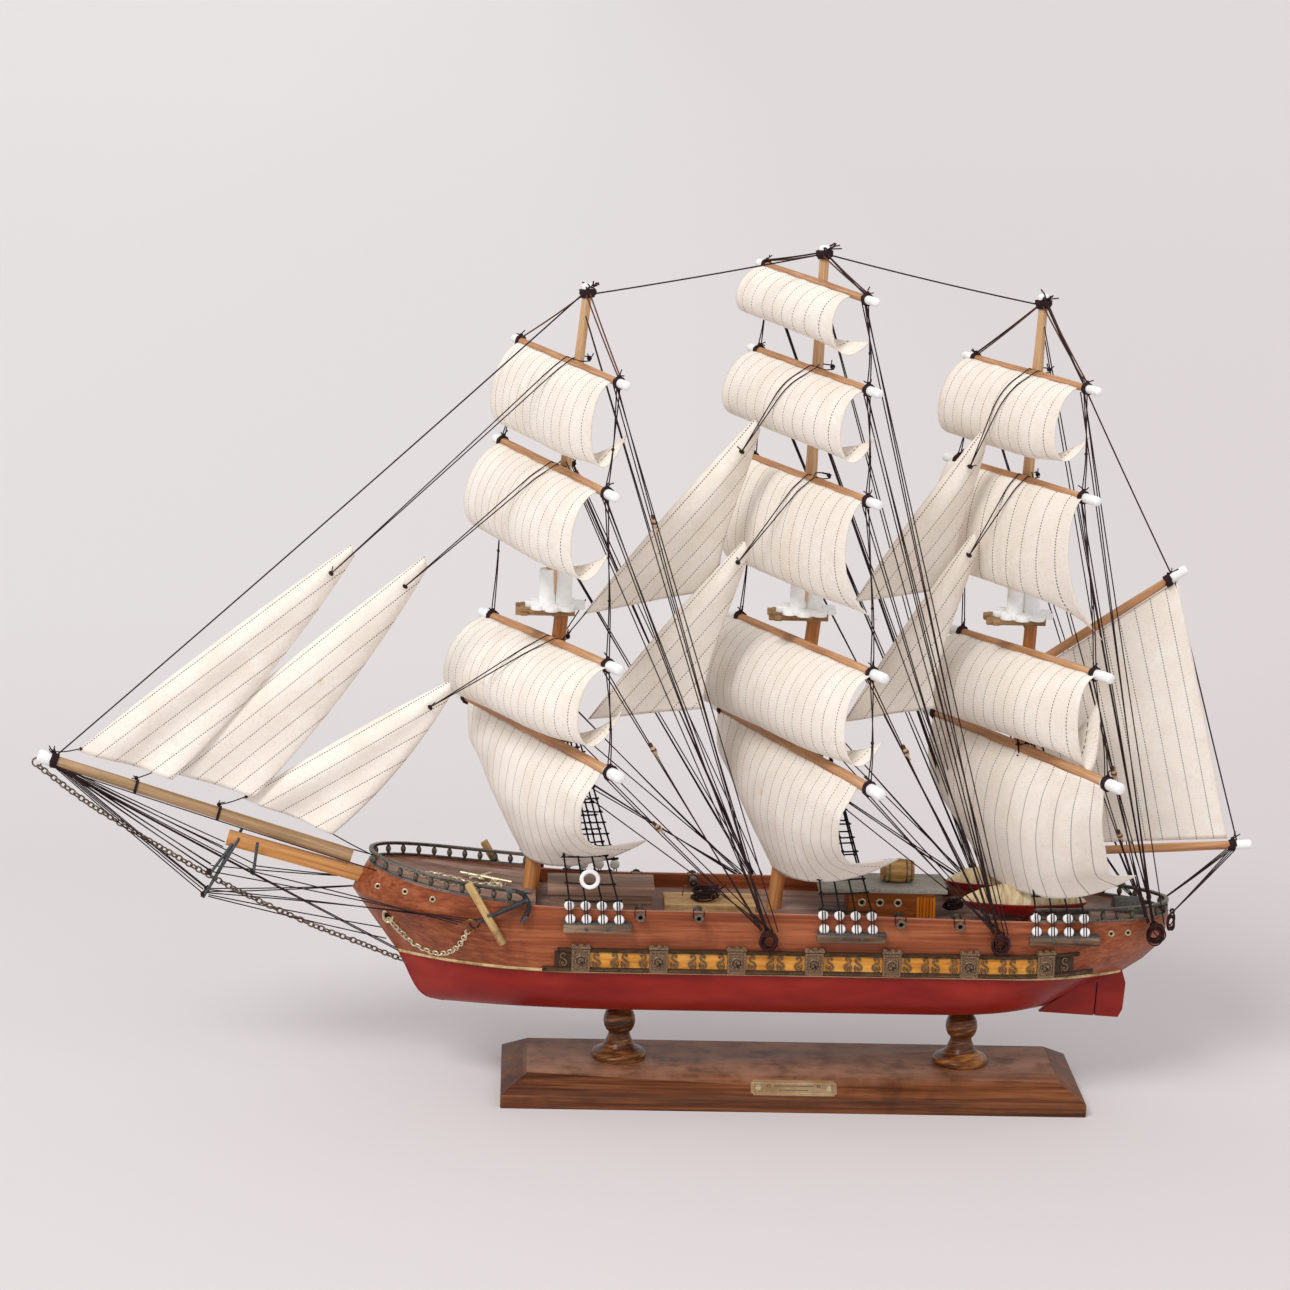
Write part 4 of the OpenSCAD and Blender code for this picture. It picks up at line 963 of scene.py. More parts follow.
def make_spars():
    groups = {"fore": Heap(), "main": Heap(), "mizzen": Heap()}
    for index, y in enumerate(YARDS):
        radius = y[5] - 0.25
        spar(groups[y[0]], yard_at(y, -y[3] + 1), yard_at(y, y[3] - 1), radius, radius, index, 0.25)
    for name, heap in groups.items():
        heap.piece(f"{name}_yard_dowels", "yard_wood", "turned_oak", f"{name}_yards")
    booms, lower, upper = heaps(3)
    spar(booms, *GAFF, 2.5, 2.3, 31, 0.2)
    spar(booms, *BOOM, 2.5, 2.4, 32, 0.2)
    for k in range(3):
        spar(lower, *[vec(*p) for p in LOWER_MASTS[k]], 4.4, 3.9, 40 + k)
        spar(upper, *[vec(*p) for p in TOPMASTS[k]], 3.7, 2.8, 50 + k)
    booms.piece("gaff_and_boom", "yard_wood", "pale_dowel", "spanker_spars")
    lower.piece("lower_mast_dowels", "lower_mast_wood", "pale_dowel", "lower_masts")
    upper.piece("topmast_dowels", "mast_wood", "pale_dowel", "topmasts")


# ---- sails ----

CLOTH = 0.5

# Square sails: name, yard, drop, depth, curl, reach, slide, seams, CAD node, port edge's last two controls.
SQUARE_SAILS = (
    ("fore_topsail_sheet", 1, 46, 27, 1, 74, 1, 16, "fore_topsail", (0.65, -0.6, 1.55, 0.55)),
    ("fore_topgallant_sheet", 2, 49, 22, 0.7, 83, 3, 13, "fore_topgallant", (0.7, -0.5, 1.5, 0.72)),
    ("fore_royal_sheet", 3, 47, 17, 0.6, 80, 0.5, 12, "fore_royal", (0.55, -0.85, 1.55, 0.62)),
    ("main_topsail_sheet", 5, 51, 23, 0.8, 83, 1.5, 17, "main_topsail", (0.6, -0.6, 1.45, 0.76)),
    ("main_topgallant_sheet", 6, 58, 15, 0.4, 75, 3, 12, "main_topgallant", (0.15, -1.15, 1.05, 1.16)),
    ("main_royal_sheet", 7, 37, 19, 0.8, 80, 2, 11, "main_royal", (0.6, -0.6, 1.65, 0.72)),
    ("main_skysail_sheet", 8, 27, 16, 0.8, 72, 9, 8, "main_skysail", (0.5, -1.1, 1.75, 0.95)),
    ("mizzen_topsail_sheet", 10, 46, 20, 1, 64, 0, 13, "mizzen_upper_sails", (-0.9, -0.35, 2.3, 0.25)),
    ("mizzen_topgallant_sheet", 11, 60, 12, 0.3, 68, 1, 9, "mizzen_upper_sails", (-0.1, -2.4, 1.05, 1.36)),
    ("mizzen_royal_sheet", 12, 43, 19, 0.6, 61, 5, 11, "mizzen_upper_sails", (0.7, -0.75, 1.4, 0.66)),
)

# Courses: name, yard, seams, CAD node, then reach, slide, pull, tall, lift
# and how far the port edge stands ahead.
COURSES = (
    ("fore_course_sheet", 0, 15, "fore_course", (90, -1, 1, 1, 1, fifths(3, 12, 8, -10, -46))),
    ("main_course_sheet", 4, 16, "main_course", (94, 5.5, 0.92, 1.02, 1, fifths(3, 11, 7, -9, -44))),
    ("mizzen_course_sheet", 9, 13, "mizzen_course", (89, -1, 0.6, 1.12, 0.4, fifths(3, 1, -6, -16, -38))),
)
course_mid = fifths(3, 12, 15, 11, 4)
course_far = fifths(3, 4, -3, -20, -45)
course_fall = fifths(1, 18, 37, 56, 74)
course_edge = fifths(1, 20, 36.5, 51, 54)


def belly(t, drop, depth, curl, near=0.0, leech=(0, 0, 0, 0)):
    """Distance ahead of the yard and height from head to foot; near blends in the port edge's own curl."""
    r = 1 - t
    w = (r ** 4, 4 * t * r ** 3, 6 * (t * r) ** 2, 4 * t ** 3 * r, t ** 4)
    ahead = (0, 0.85, 1.4, lerp(1.0, leech[0], near), lerp(0.55 - 0.4 * curl, leech[1], near))
    down = (0, 0.1, 0.7, lerp(1.1, leech[2], near), lerp(1, leech[3], near))
    return (
        3 + depth * (1 - 0.32 * near) * sum(a * b for a, b in zip(w, ahead)),
        -drop * sum(a * b for a, b in zip(w, down)),
    )


def course_at(y, s, t, reach, slide, pull, tall, lift, port):
    mid = course_mid(t)
    edge = lerp(mid, course_far(t), pull) if s > 0 else port(t)
    fall = course_fall(t)
    side_fall = lerp(fall, course_edge(t), max(lift, 0.9) if s < 0 else lift)
    drop = lerp(fall, side_fall, abs(s) ** 4)
    along = slide + s * reach * (1 - 0.4 * pull * t ** 1.6)
    return yard_at(y, along, lerp(mid, edge, abs(s) ** 2.2), -tall * drop)


def waves(seed, count=5):
    """Smooth function of two numbers from -1 to 1, for creases."""
    rng = random.Random(seed)
    terms = [(rng.uniform(1.5, 5), rng.uniform(-2.5, 2.5), rng.uniform(0, 6.3), rng.uniform(0.4, 1))
             for _ in range(count)]
    total = sum(t[3] for t in terms)
    return lambda u, v: sum(a * math.sin(fu * u + fv * v + ph) for fu, fv, ph, a in terms) / total


def sail(name, rows, cols, at, node):
    """Single sheet of cloth; at gives a point and its place on the flat cloth for each row and column."""
    heap = Heap()
    cells = [at(j / rows, i / cols) for j in range(rows + 1) for i in range(cols + 1)]
    heap.add([p for p, _ in cells], grid(rows + 1, cols + 1), [uv for _, uv in cells])
    obj = heap.piece(name, "sailcloth", "sailcloth", node, angle=180)
    thick = obj.modifiers.new("cloth", "SOLIDIFY")
    thick.thickness = CLOTH * MM
    thick.offset = 0


def square_sail(name, index, drop, depth, curl, reach, slide, seams, node, leech):
    y = YARDS[index]
    rows = 44
    crease, ripple = waves(100 + index), waves(200 + index, 4)
    profile = [belly(j / rows, drop, depth, curl) for j in range(rows + 1)]
    lengths = arc_lengths(profile)

    def at(t, across):
        s = -1 + 2 * across
        f, h = belly(t, drop, depth, curl, max(0.0, -s) ** 5, leech)
        ahead = f + t * (0.9 * crease(s * 1.6, t * 2.2) + 0.3 * ripple(s * 9, t * 1.5))
        scallop = -0.4 * (1 - t) ** 8 * abs(math.sin(s * 7.5))
        width = reach * (1 - 0.03 * math.sin(math.pi * t))
        place = yard_at(y, slide + s * width, ahead, h + scallop)
        return place, flat_place(s, reach, seams, lengths[round(t * rows)])

    sail(name, rows, 80, at, node)


def arc_lengths(points):
    """Distance along a row of points, at each of them."""
    out = [0.0]
    for p, q in zip(points, points[1:]):
        out.append(out[-1] + np.linalg.norm(np.subtract(q, p)))
    return out


def flat_place(s, reach, seams, length):
    """UV of a square sail's point, with its seams evenly across it."""
    gap = 2 * reach / (seams + 0.4)
    return (s * reach / gap + seams / 2 + 0.58) * STITCH_GAP + 0.5, length * MM


def course_sail(name, index, seams, node, shape):
    y = YARDS[index]
    reach = shape[0]
    rows = 46
    crease, ripple = waves(300 + index), waves(400 + index, 4)
    lengths = arc_lengths([course_at(y, 0, j / rows, *shape) for j in range(rows + 1)])
    a = math.radians(y[4])
    forward = vec(-math.cos(a), -math.sin(a), 0)

    def at(t, across):
        s = -1 + 2 * across
        out = t * (0.8 * crease(s * 1.5, t * 2) + 0.3 * ripple(s * 8, t * 1.5))
        scallop = 0.4 * (1 - t) ** 8 * abs(math.sin(s * 8))
        place = course_at(y, s, t, *shape) + out * forward - Z * scallop
        return place, flat_place(s, reach, seams, lengths[round(t * rows)])

    sail(name, rows, 80, at, node)


# head, tack and clew
JIBS = [
    ((-258.5, 0, 322.5), (-417, 0, 196.5), (-362, -6, 182)),
    ((-217, 0, 316.5), (-369.5, 0, 186.5), (-315, -6, 172)),
    ((-202, 0, 243), (-322, 0, 170), (-270, -6, 151)),
]
STAYSAILS = [
    ((-32, 0, 400), (-128, 0, 283), (-50, 7, 298)),
    ((-36, -3, 330), (-124, 0, 221), (-57, -5, 230)),
    ((97, 0, 396), (27, 0, 293.5), (86, 7, 301)),
    ((95, -3, 338), (24, 0, 222.5), (76, -5, 233)),
]
# swell, roach and hollow
JIB_SHAPE = (7, 5, 0)
STAY_SHAPE = (8, 5, 9)


def tri_at(head, tack, clew, u, v, swell, roach, hollow):
    d = head - tack
    out = vec(-d[2], 0, d[0]) / np.linalg.norm(d)
    bow = 4 * v * (1 - v) * roach
    luff = lerp(tack, head, v) + out * bow * 0.45
    peak = head + unit(clew - head) * 3 + vec(2.5, 0, -3.5)
    leech = lerp(clew, peak, v) - out * (bow - hollow * sin_deg(180 * v ** 0.7))
    full = sin_deg(180 * min(1, 0.12 + 0.88 * (1 - v)))
    return lerp(luff, leech, u) - Y * (swell * sin_deg(180 * u) * full)


def tri_sail(name, corners, shape, node, fold, seed, gap):
    head, tack, clew = (vec(*p) for p in corners)
    crease = waves(seed)
    along = unit(head - tack)
    across = unit((clew - tack) - along * ((clew - tack) @ along))

    def at(v, u):
        v *= 0.985
        flat = tri_at(head, tack, clew, u, v, *shape)
        shrink = (1 - v) ** 0.5
        folded = fold * shrink * math.sin(2 * math.pi * (u * 1.15 + 0.1)) * (0.4 + 0.6 * u)
        creased = 0.9 * crease(u * 2.4, v * 2) * min(1, 6 * u, 6 * (1 - v))
        place = flat - Y * (folded + creased - fold * 0.9 * u ** 7 * shrink)
        flat = flat - tack
        return place, (flat @ across / gap * STITCH_GAP + 0.5, flat @ along * MM)

    sail(name, 60, 34, at, node)


def make_spanker():
    crease = waves(900)
    clew = vec(251.5, 0, 157)
    leech = unit(vec(213, 0, 310) - clew)
    across = vec(-leech[2], 0, leech[0])

    def at(v, u):
        flat = lerp(lerp(vec(133, 0, 151), clew, u), lerp(vec(138, 0, 258), vec(213, 0, 310), u), v)
        full = sin_deg(180 * v)
        place = flat - Y * (7 * sin_deg(180 * u) * full)
        place = place - Y * (1.1 * crease(u * 2.5, v * 2.5) * full + 1.5 * u ** 6 * full)
        flat = place - clew
        return place, (flat @ across / 9.8 * STITCH_GAP + 0.5 + 0.002, flat @ leech * MM)

    sail("spanker_sheet", 52, 46, at, "spanker")


def make_sails():
    for row in COURSES:
        course_sail(*row)
    for row in SQUARE_SAILS:
        square_sail(*row)
    for k, corners in enumerate(JIBS):
        tri_sail(f"jib_{k + 1}_sheet", corners, JIB_SHAPE, "jibs", 3.6, 500 + k, 8.8)
    for k, corners in enumerate(STAYSAILS):
        name = f"staysail_{k + 1}_sheet"
        tri_sail(name, corners, STAY_SHAPE, "staysails", 1.8, 600 + k, 8.2)
    make_spanker()


# ---- rigging ----

# x, length and z of each channel board
CHANNELS = [(-136, 39, 106.6), (9.5, 39.5, 103.4), (132.5, 40.5, 102.6)]
TOP_X = [-148, -3, 122]
HANKS = [(-18, 46, 104), (115.5, 44, 104), (208, 24, 106)]
THREAD, STAY = 0.36, 0.45
SHROUDS, SHROUD_GAP, SHROUD_RAKE = 4, 9.3, 0.8
BEAD = [(1.2, -1.7), (2.2, -1.6), (2.8, -0.9), (2.95, 0), (2.8, 0.9), (2.2, 1.6), (1.2, 1.7)]


def channel_y(c):
    return top_breadth(c[0] + c[1] / 2, 0.8)


def add_ladder(cords, c, top_x, side, rng):
    """Four shrouds and their crossing threads."""
    y0 = channel_y(c) + 1.6
    top = [vec(top_x - 4.5 + 2.3 * i, side * 6.6, 262) for i in range(SHROUDS)]
    foot = [vec(c[0] + 4 + SHROUD_GAP * i - SHROUD_RAKE, side * y0, c[2] + 17.5) for i in range(SHROUDS)]
    at = lambda i, t: lerp(foot[i], top[i], t)
    for i in range(SHROUDS):
        cords.tube([at(i, t) for t in np.linspace(0, 1, 20)], 0.55, 7)
    out = vec(0, side * 0.5, 0)
    rows = 17
    for j in range(rows + 1):
        t = 0.006 if j == 0 else 0.02 + 0.93 * j / rows
        tilt = rng.uniform(-0.006, 0.006)
        first, last = at(0, t + tilt), at(3, t - tilt)
        over = unit(last - first) * (1.6 if j else 2.6)
        cords.tube(sagging(first - over + out, last + over + out, 0.5, 8), 0.5 if j else 0.75, 6)
        for i in range(SHROUDS):
            cords.ball(at(i, t) + out * 0.6, 0.95, 8)


def make_shrouds():
    cords, beads, lanyards = heaps(3)
    rng = random.Random(12)
    for c, top_x in zip(CHANNELS, TOP_X):
        y0 = channel_y(c) + 3.4
        for side in SIDES:
            add_ladder(cords, c, top_x, side, rng)
            for x0 in (c[0] + 4 + SHROUD_GAP * i for i in range(SHROUDS)):
                for x, y, z in ((x0, y0, c[2] + 7.6), (x0 - SHROUD_RAKE, y0 - 1.6, c[2] + 15.4)):
                    beads.lathe(BEAD, (x, side * y, z), vec(0.12, side, 0.1), 24)
                for dx in (-0.75, 0.75):
                    low = vec(x0 + dx, side * (y0 + 1.95), c[2] + 5.2)
                    high = vec(x0 - SHROUD_RAKE + dx, side * (y0 + 0.4), c[2] + 18.6)
                    middle = lerp(low, high, 0.5) + vec(0, side * 0.25, 0)
                    lanyards.tube(spline([low, middle, high], 6), 0.34, 7)
    cords.piece("shroud_cords", "black_cord", "black_cord", "shrouds")
    beads.piece("deadeye_beads", "white_plastic", "white_plastic", "deadeyes", angle=50)
    lanyards.piece("deadeye_lanyards", "brown_thread", "brown_thread")


def tails(heap, at, rng, count=2, long=5.0, up=1.0, wire=0.36):
    """Loose cut ends of thread at a knot."""
    for _ in range(count):
        d = unit(vec(rng.uniform(-1, 1), rng.uniform(-1, 1), rng.uniform(0.1, 1) * up))
        bend = vec(rng.uniform(-1, 1), rng.uniform(-1, 1), rng.uniform(-0.6, 0.4))
        heap.tube(spline([at, at + d * long * 0.5, at + d * long + bend * long * 0.25], 4), wire, 6)


def knot(heap, at, size, rng, wire=0.42):
    for _ in range(3):
        heap.ring(at, unit(drift(rng, 1, 1, 1)), size, wire, 12, 6)


BOOM_TIPS = (
    ((-430.5, 0, 190.3), (-177, 0, 55.4), 3.7, 6),
    ((207.5, 0, 309.8), (84, 0, 57.8), 2.8, 4),
    ((254.5, 0, 153), (137, 0, 8.1), 2.8, 5),
)


def make_lashings():
    """Thread wound at each yardarm, masthead and boom end."""
    heap = Heap()
    rng = random.Random(21)
    for n, y in enumerate(YARDS):
        axis = unit(yard_at(y, 1) - yard_at(y, 0))
        for s in SIDES:
            at = yard_at(y, s * (y[3] - TIP - (0.6 if n % 3 else -0.6)))
            heap.coil(at, axis, y[5] + 0.35, 0.5, 5, 3.6, 0.18, n * 2 + s)
            heap.coil(at, axis, y[5] + 0.8, 0.45, 3, 2.6, 0.3, 90 + n * 2 + s)
            knot(heap, at + Z * (y[5] + 1.2), 0.8, rng)
            tails(heap, at + Z * (y[5] + 1.0), rng, 2, 4.5)
    for n, cap in enumerate(CAPS):
        for k, (r, spread) in enumerate(((3.6, 5.0), (4.1, 3.6), (4.5, 2.2))):
            heap.coil(cap + Z * (1.4 + 0.4 * k), Z, r, 0.5, 6 - k, spread, 0.25, 300 + 7 * n + k)
        knot(heap, cap + vec(0, -3, 4.4), 1.1, rng)
        tails(heap, cap + vec(1, -2, 4), rng, 6, 7.0, 0.6, 0.42)
    for k, (at, axis, r, turns) in enumerate(BOOM_TIPS):
        at, axis = vec(*at), unit(vec(*axis))
        heap.coil(at, axis, r, 0.5, turns, 4.2, 0.25, 400 + k)
        heap.coil(at, axis, r + 0.5, 0.45, 3, 3.0, 0.3, 410 + k)
        knot(heap, at + Z * (r + 0.8), 1.0, rng)
        tails(heap, at + Z * (r + 0.4), rng, 2, 6)
    heap.piece("yardarm_lashings", "brown_thread", "brown_thread", angle=60)


def clear_of_sail(yard, path):
    """Path pulled taut over the front of the square sail below the yard."""
    row = next(r for r in SQUARE_SAILS if r[1] == yard)
    profile = [belly(t, *row[2:5]) for t in np.linspace(0, 0.6, 40)]
    heights, reach = [-h for f, h in profile], [f for f, h in profile]
    centre = yard_at(YARDS[yard], 0)
    ahead = yard_at(YARDS[yard], 0, 1) - centre
    height = np.array([centre[2] - p[2] for p in path])
    before = np.array([(p - centre) @ ahead for p in path])
    least = np.where((height > 0) & (height < heights[-1]), np.interp(height, heights, reach) + 1.2, -1e9)
    taut = before.copy()
    for _ in range(400):
        taut[1:-1] = np.maximum((taut[:-2] + taut[2:]) / 2, least[1:-1])
    return [p + ahead * d for p, d in zip(path, taut - before)]


def line(heap, p, q, sag, radius=THREAD):
    heap.tube(sagging(vec(*p), vec(*q), sag), radius, 7)


# corners, yard behind, knot's distance below the head, shape
HALYARDS = (
    (JIBS[0], 3, 22, JIB_SHAPE), (JIBS[1], 2, 22, JIB_SHAPE), (JIBS[2], 1, 20, JIB_SHAPE),
    (STAYSAILS[0], 7, 24, STAY_SHAPE), (STAYSAILS[1], 6, 14, STAY_SHAPE),
    (STAYSAILS[2], 12, 24, STAY_SHAPE), (STAYSAILS[3], 11, 14, STAY_SHAPE),
)
# starboard ends of the threads that fan out from the jibboom's tip to the pins
PIN_ENDS = ((-333, 5, 142), (-316, 6, 129), (-341, 6, 128.5), (-343.5, 1.2, 116))
RAIL_STARTS = ((-343.5, 1, 113), (-344, 0.8, 115), (-341, 6, 127.5), (-317, 6, 128))


def add_halyard(heap, k, corners, yard, below, shape, rng):
    """Pair of threads from a knot at the sail's head over the yard to a knot behind it."""
    y = YARDS[yard]
    head, tack, clew = (vec(*c) for c in corners)
    tie = tri_at(head, tack, clew, 0.5, 1 - below / np.linalg.norm(head - tack), *shape) - Y * 2.6
    knot(heap, tie, 1.0, rng, 0.36)
    heap.coil(tie, unit(tack - head), 1.2, 0.36, 3, 1.4, 0.3, 700 + k)
    tails(heap, tie, rng, 1, 4)
    for s, apart in ((-1, 8.0), (1, 1.0)):
        along = s * apart - 3
        over = yard_at(y, along, y[5] * 0.7, y[5] + 0.7)
        back = [yard_at(y, along + 1.0, -y[5] * 0.9, y[5] * 0.75), yard_at(y, s * 4.6, -7, y[5] * 0.6 + s),
                yard_at(y, s * 1.6, -12.5, y[5] * 0.5 + s)]
        front = clear_of_sail(yard, sagging(tie, over, 0.3, 26))
        heap.tube([*front, *spline([over, *back], 5)[1:]], THREAD, 7)
    behind = yard_at(y, 0, -12.5, 1.5)
    knot(heap, behind, 1.1, rng)
    tails(heap, behind, rng, 2, 4)


def add_rail_thread(heap, first, k, s):
    """Thread from a pin along the bow to the rail, kept outside the hull."""
    last = vec(-190 - 2 * k, 43.5, 113 - 1.2 * k)
    path = []
    for t in np.linspace(0, 1, 24):
        p = lerp(first, last, t) - Z * 2.0 * t * (1 - t)
        clear = top_breadth(p[0], 0.8) + 1.0 if p[0] > -238 else 0
        path.append(vec(p[0], s * max(p[1] - 18 * t * (1 - t), clear), p[2]))
    heap.tube(path, THREAD, 7)


def add_tack(heap, tack, rng):
    """Turns round the jibboom that hold a jib's tack."""
    axis = vec(-177, 0, 55.4)
    boom = vec(tack[0] - 14, 0, 136.6 + (-259 - tack[0]) * 55.4 / 177 + 14 * 0.313)
    heap.coil(boom, axis, 4.0, 0.42, 2, 1.6, 0.1, 7)
    knot(heap, boom + Z * 5.2, 0.9, rng)
    tails(heap, boom + Z * 5.2, rng, 2, 4.5)
    start = boom + Z * 5
    heap.tube(spline([start, lerp(start, tack, 0.5) - Z * 0.3, tack + vec(2, -0.6, 1.2)], 5), THREAD, 7)
    knot(heap, tack + vec(2, -0.8, 1.2), 0.8, rng)


def make_stays():
    heap = Heap()
    rng = random.Random(33)
    fore, main, mizzen = CAPS
    line(heap, (-429, 0, 193.5), fore + vec(-3.5, 0, 0), 1.5, STAY)
    line(heap, fore + vec(3.2, 0, 1), main + vec(-3.2, 0, 1), 0.6, STAY)
    line(heap, main + vec(3.2, 0, 1), mizzen + vec(-3.2, 0, 1), 0.8, STAY)
    line(heap, mizzen + vec(3.2, 0, 0), (210, 0, 312), 1.5, STAY)
    line(heap, (211, 0, 311), (257, 0, 156), 0.5, STAY)
    for k, row in enumerate(HALYARDS):
        add_halyard(heap, k, *row, rng)
    for s in SIDES:
        line(heap, (-126.5, s * 17, 288), (-142, s * 3, 266), 0.5)
    for s in SIDES:
        line(heap, (-430, s * 2.6, 187), (-243, s * 15, 132), 0.6)
        for k, (x, y, z) in enumerate(PIN_ENDS):
            line(heap, (-430 + 0.8 * k, s * (2.4 - 0.3 * k), 188.0 - 0.5 * k), (x, s * y, z), 0.5)
        line(heap, (-431, s * 0.8, 186.8), (-231, s * 1.5, 80), 0.6)
        line(heap, (-428, s * 2, 187.6), (-341, s * 6, 128), 0.4)
    line(heap, (-431, -1.4, 187.4), (-344, -0.6, 111.5), 0.4)
    line(heap, (-431, 1.4, 187.4), (-345, 0.6, 114.5), 0.4)
    for k, first in enumerate(RAIL_STARTS):
        for s in SIDES:
            add_rail_thread(heap, vec(*first), k, s)
    for s in SIDES:
        line(heap, (-342, s * 1.6, 111), (-238, s * 10, 90), 0.4)
    for corners in JIBS:
        add_tack(heap, vec(*corners[1]), rng)
    line(heap, vec(*JIBS[2][2]) + vec(-1, -0.5, 1), (-246, -4, 138), 0.4)
    for p in ((-345, 0, 112), (-343, 1, 115), (-341, -6, 127), (-316, -6, 128)):
        knot(heap, vec(*p), 1.2, rng)
        heap.coil(vec(*p), Z, 1.2, 0.4, 4, 3.0, 0.2, int(-p[0]))
    heap.piece("stay_threads", "brown_thread", "brown_thread", "stays", angle=60)


# yard, its hank, and its place in the hank
BRACES = [(highest - k, hank, k) for hank, (highest, count) in enumerate(((3, 4), (8, 5), (12, 4)))
          for k in range(count)]
BLOCK_PLACES = {0: 0.32, 1: 0.3, 3: 0.24, 5: 0.28, 9: 0.34, 10: 0.38}
# x, z and hank of each backstay
BACKSTAYS = [(-131, 455, 0), (-140, 372, 0), (-146, 226, 0), (-149, 195, 0), (3, 470, 1), (1.5, 400, 1),
             (0, 226, 1), (-3, 195, 1), (128, 455, 2), (125, 372, 2)]


def brace_ends(yard, hank, side, k):
    y, h = YARDS[yard], HANKS[hank]
    across = side * (h[1] + 0.6 * math.cos(k * 2.1))
    return (yard_at(y, side * (y[3] - 16), 0, -y[5] - 0.3),
            vec(h[0] - 2 - 0.9 * k + 1.2 * math.sin(k * 2.1), across, h[2] + 4.5 + 0.5 * k))


def add_yard_lift(heap, i, s, rng):
    """Pair of threads from one yardarm to the next above, knotted together."""
    a, b = YARDS[i], YARDS[i + 1]
    low, high = yard_at(a, s * (a[3] - 15), 0, 3.2), yard_at(b, s * (b[3] - 15), 0, -3.2)
    middle = lerp(low, high, 0.35) + vec(0.8, 0, 0)
    heap.tube(spline([low + vec(-0.8, 0, 0), middle, high + vec(0.9, 0, 0)], 7), THREAD, 7)
    heap.tube(spline([low + vec(0.8, 0, 0), middle + vec(0.5, 0, 4), high + vec(-0.9, 0, 0)], 7), THREAD, 7)
    knot(heap, middle + vec(0.2, 0, 2), 0.7, rng, 0.36)


def make_running():
    heap, blocks, winds, pairs, lifts = heaps(5)
    rng = random.Random(44)
    for s in SIDES:
        for yard, hank, k in BRACES:
            p, q = brace_ends(yard, hank, s, k)
            line(heap, p, q, rng.uniform(0.3, 1.4))
            if yard in BLOCK_PLACES:
                add_block(blocks, winds, lerp(p, q, BLOCK_PLACES[yard]), unit(q - p), rng)
            y = YARDS[yard]
            line(heap, yard_at(y, s * (y[3] - 17), 2, -y[5]), q + vec(0.8, 0, 0.6), rng.uniform(0.3, 1.8))
        for n, (x, z, hank) in enumerate(BACKSTAYS):
            k = n % 4
            h = HANKS[hank]
            line(heap, (x, s * (4 + 0.4 * k), z), (h[0] - 1.5 + 1.2 * k, s * (h[1] - 0.6), h[2] + 5), 0.4)
        for i in (0, 1, 2, 4, 5, 6, 7, 9, 10, 11):
            add_yard_lift(heap, i, s, rng)
        for yard, hank, drop in ((3, 0, 5), (8, 1, 4), (12, 2, 5), (2, 0, 2), (7, 1, 2)):
            y, h = YARDS[yard], HANKS[hank]
            tip = yard_at(y, s * (y[3] - 14.5), 1, -y[5] - 0.5)
            line(heap, tip, (h[0] + drop, s * (h[1] - 0.5), h[2] + 5), 0.5)
        for k in range(3):
            line(heap, (256 - 1.5 * k, s * 2.4, 150.8), (218.5 + 0.5 * k, s * 14.5, 115 + 0.6 * k), 0.5)
        knot(heap, vec(219, s * 14.5, 116.5), 1.3, rng)
    for cap, yard in zip(CAPS, (3, 8, 12)):
        y = YARDS[yard]
        for s in SIDES:
            tip = yard_at(y, s * (y[3] - 16), 0, y[5] + 0.6)
            for k in range(2 if s < 0 else 1):
                line(pairs, cap + vec(-1 + 2 * k, s * 3.4, 1 + k), tip + vec(1.2 * k, 0, 0), 0.6, 0.45)
            if yard != 3:
                line(lifts, cap + vec(0.5, s * 3.8, 2.4), tip + vec(-1.4, 0, 0.3), 0.4, 0.5)
    pairs.piece("royal_lifts", "red_thread", "brown_thread", angle=60)
    lifts.piece("masthead_lifts", "black_cord", "brown_thread", angle=60)
    heap.piece("running_threads", "brown_thread", "brown_thread", "running_rigging", angle=60)
    blocks.piece("rigging_blocks", "block_tan", "pale_dowel", angle=50)
    winds.piece("block_seizings", "red_thread", "brown_thread", angle=60)


BLOCK = [(0.5, -3.2), (1.0, -2.6), (1.5, -1.4), (1.1, -0.3), (1.6, 0.9), (1.2, 2.1), (0.6, 3.0)]
BLOCK_HOOK = ((2.6, 0), (4.2, 1.2), (5.4, 0.2), (4.8, -1.0))


def add_block(blocks, winds, at, axis, rng):
    """Small carved block with a hooked end, seized with thread."""
    a = side_axes(axis)[0]
    blocks.lathe(BLOCK, at, axis, 12)
    blocks.tube(spline([at + axis * up + a * out for up, out in BLOCK_HOOK], 4), 0.5, 6)
    winds.coil(at - axis * 3.4, axis, 0.75, 0.36, 5, 3.0, 0.12, rng.randrange(999))
    winds.coil(at - axis * 0.2, axis, 1.4, 0.34, 2, 0.9, 0.1, rng.randrange(999))


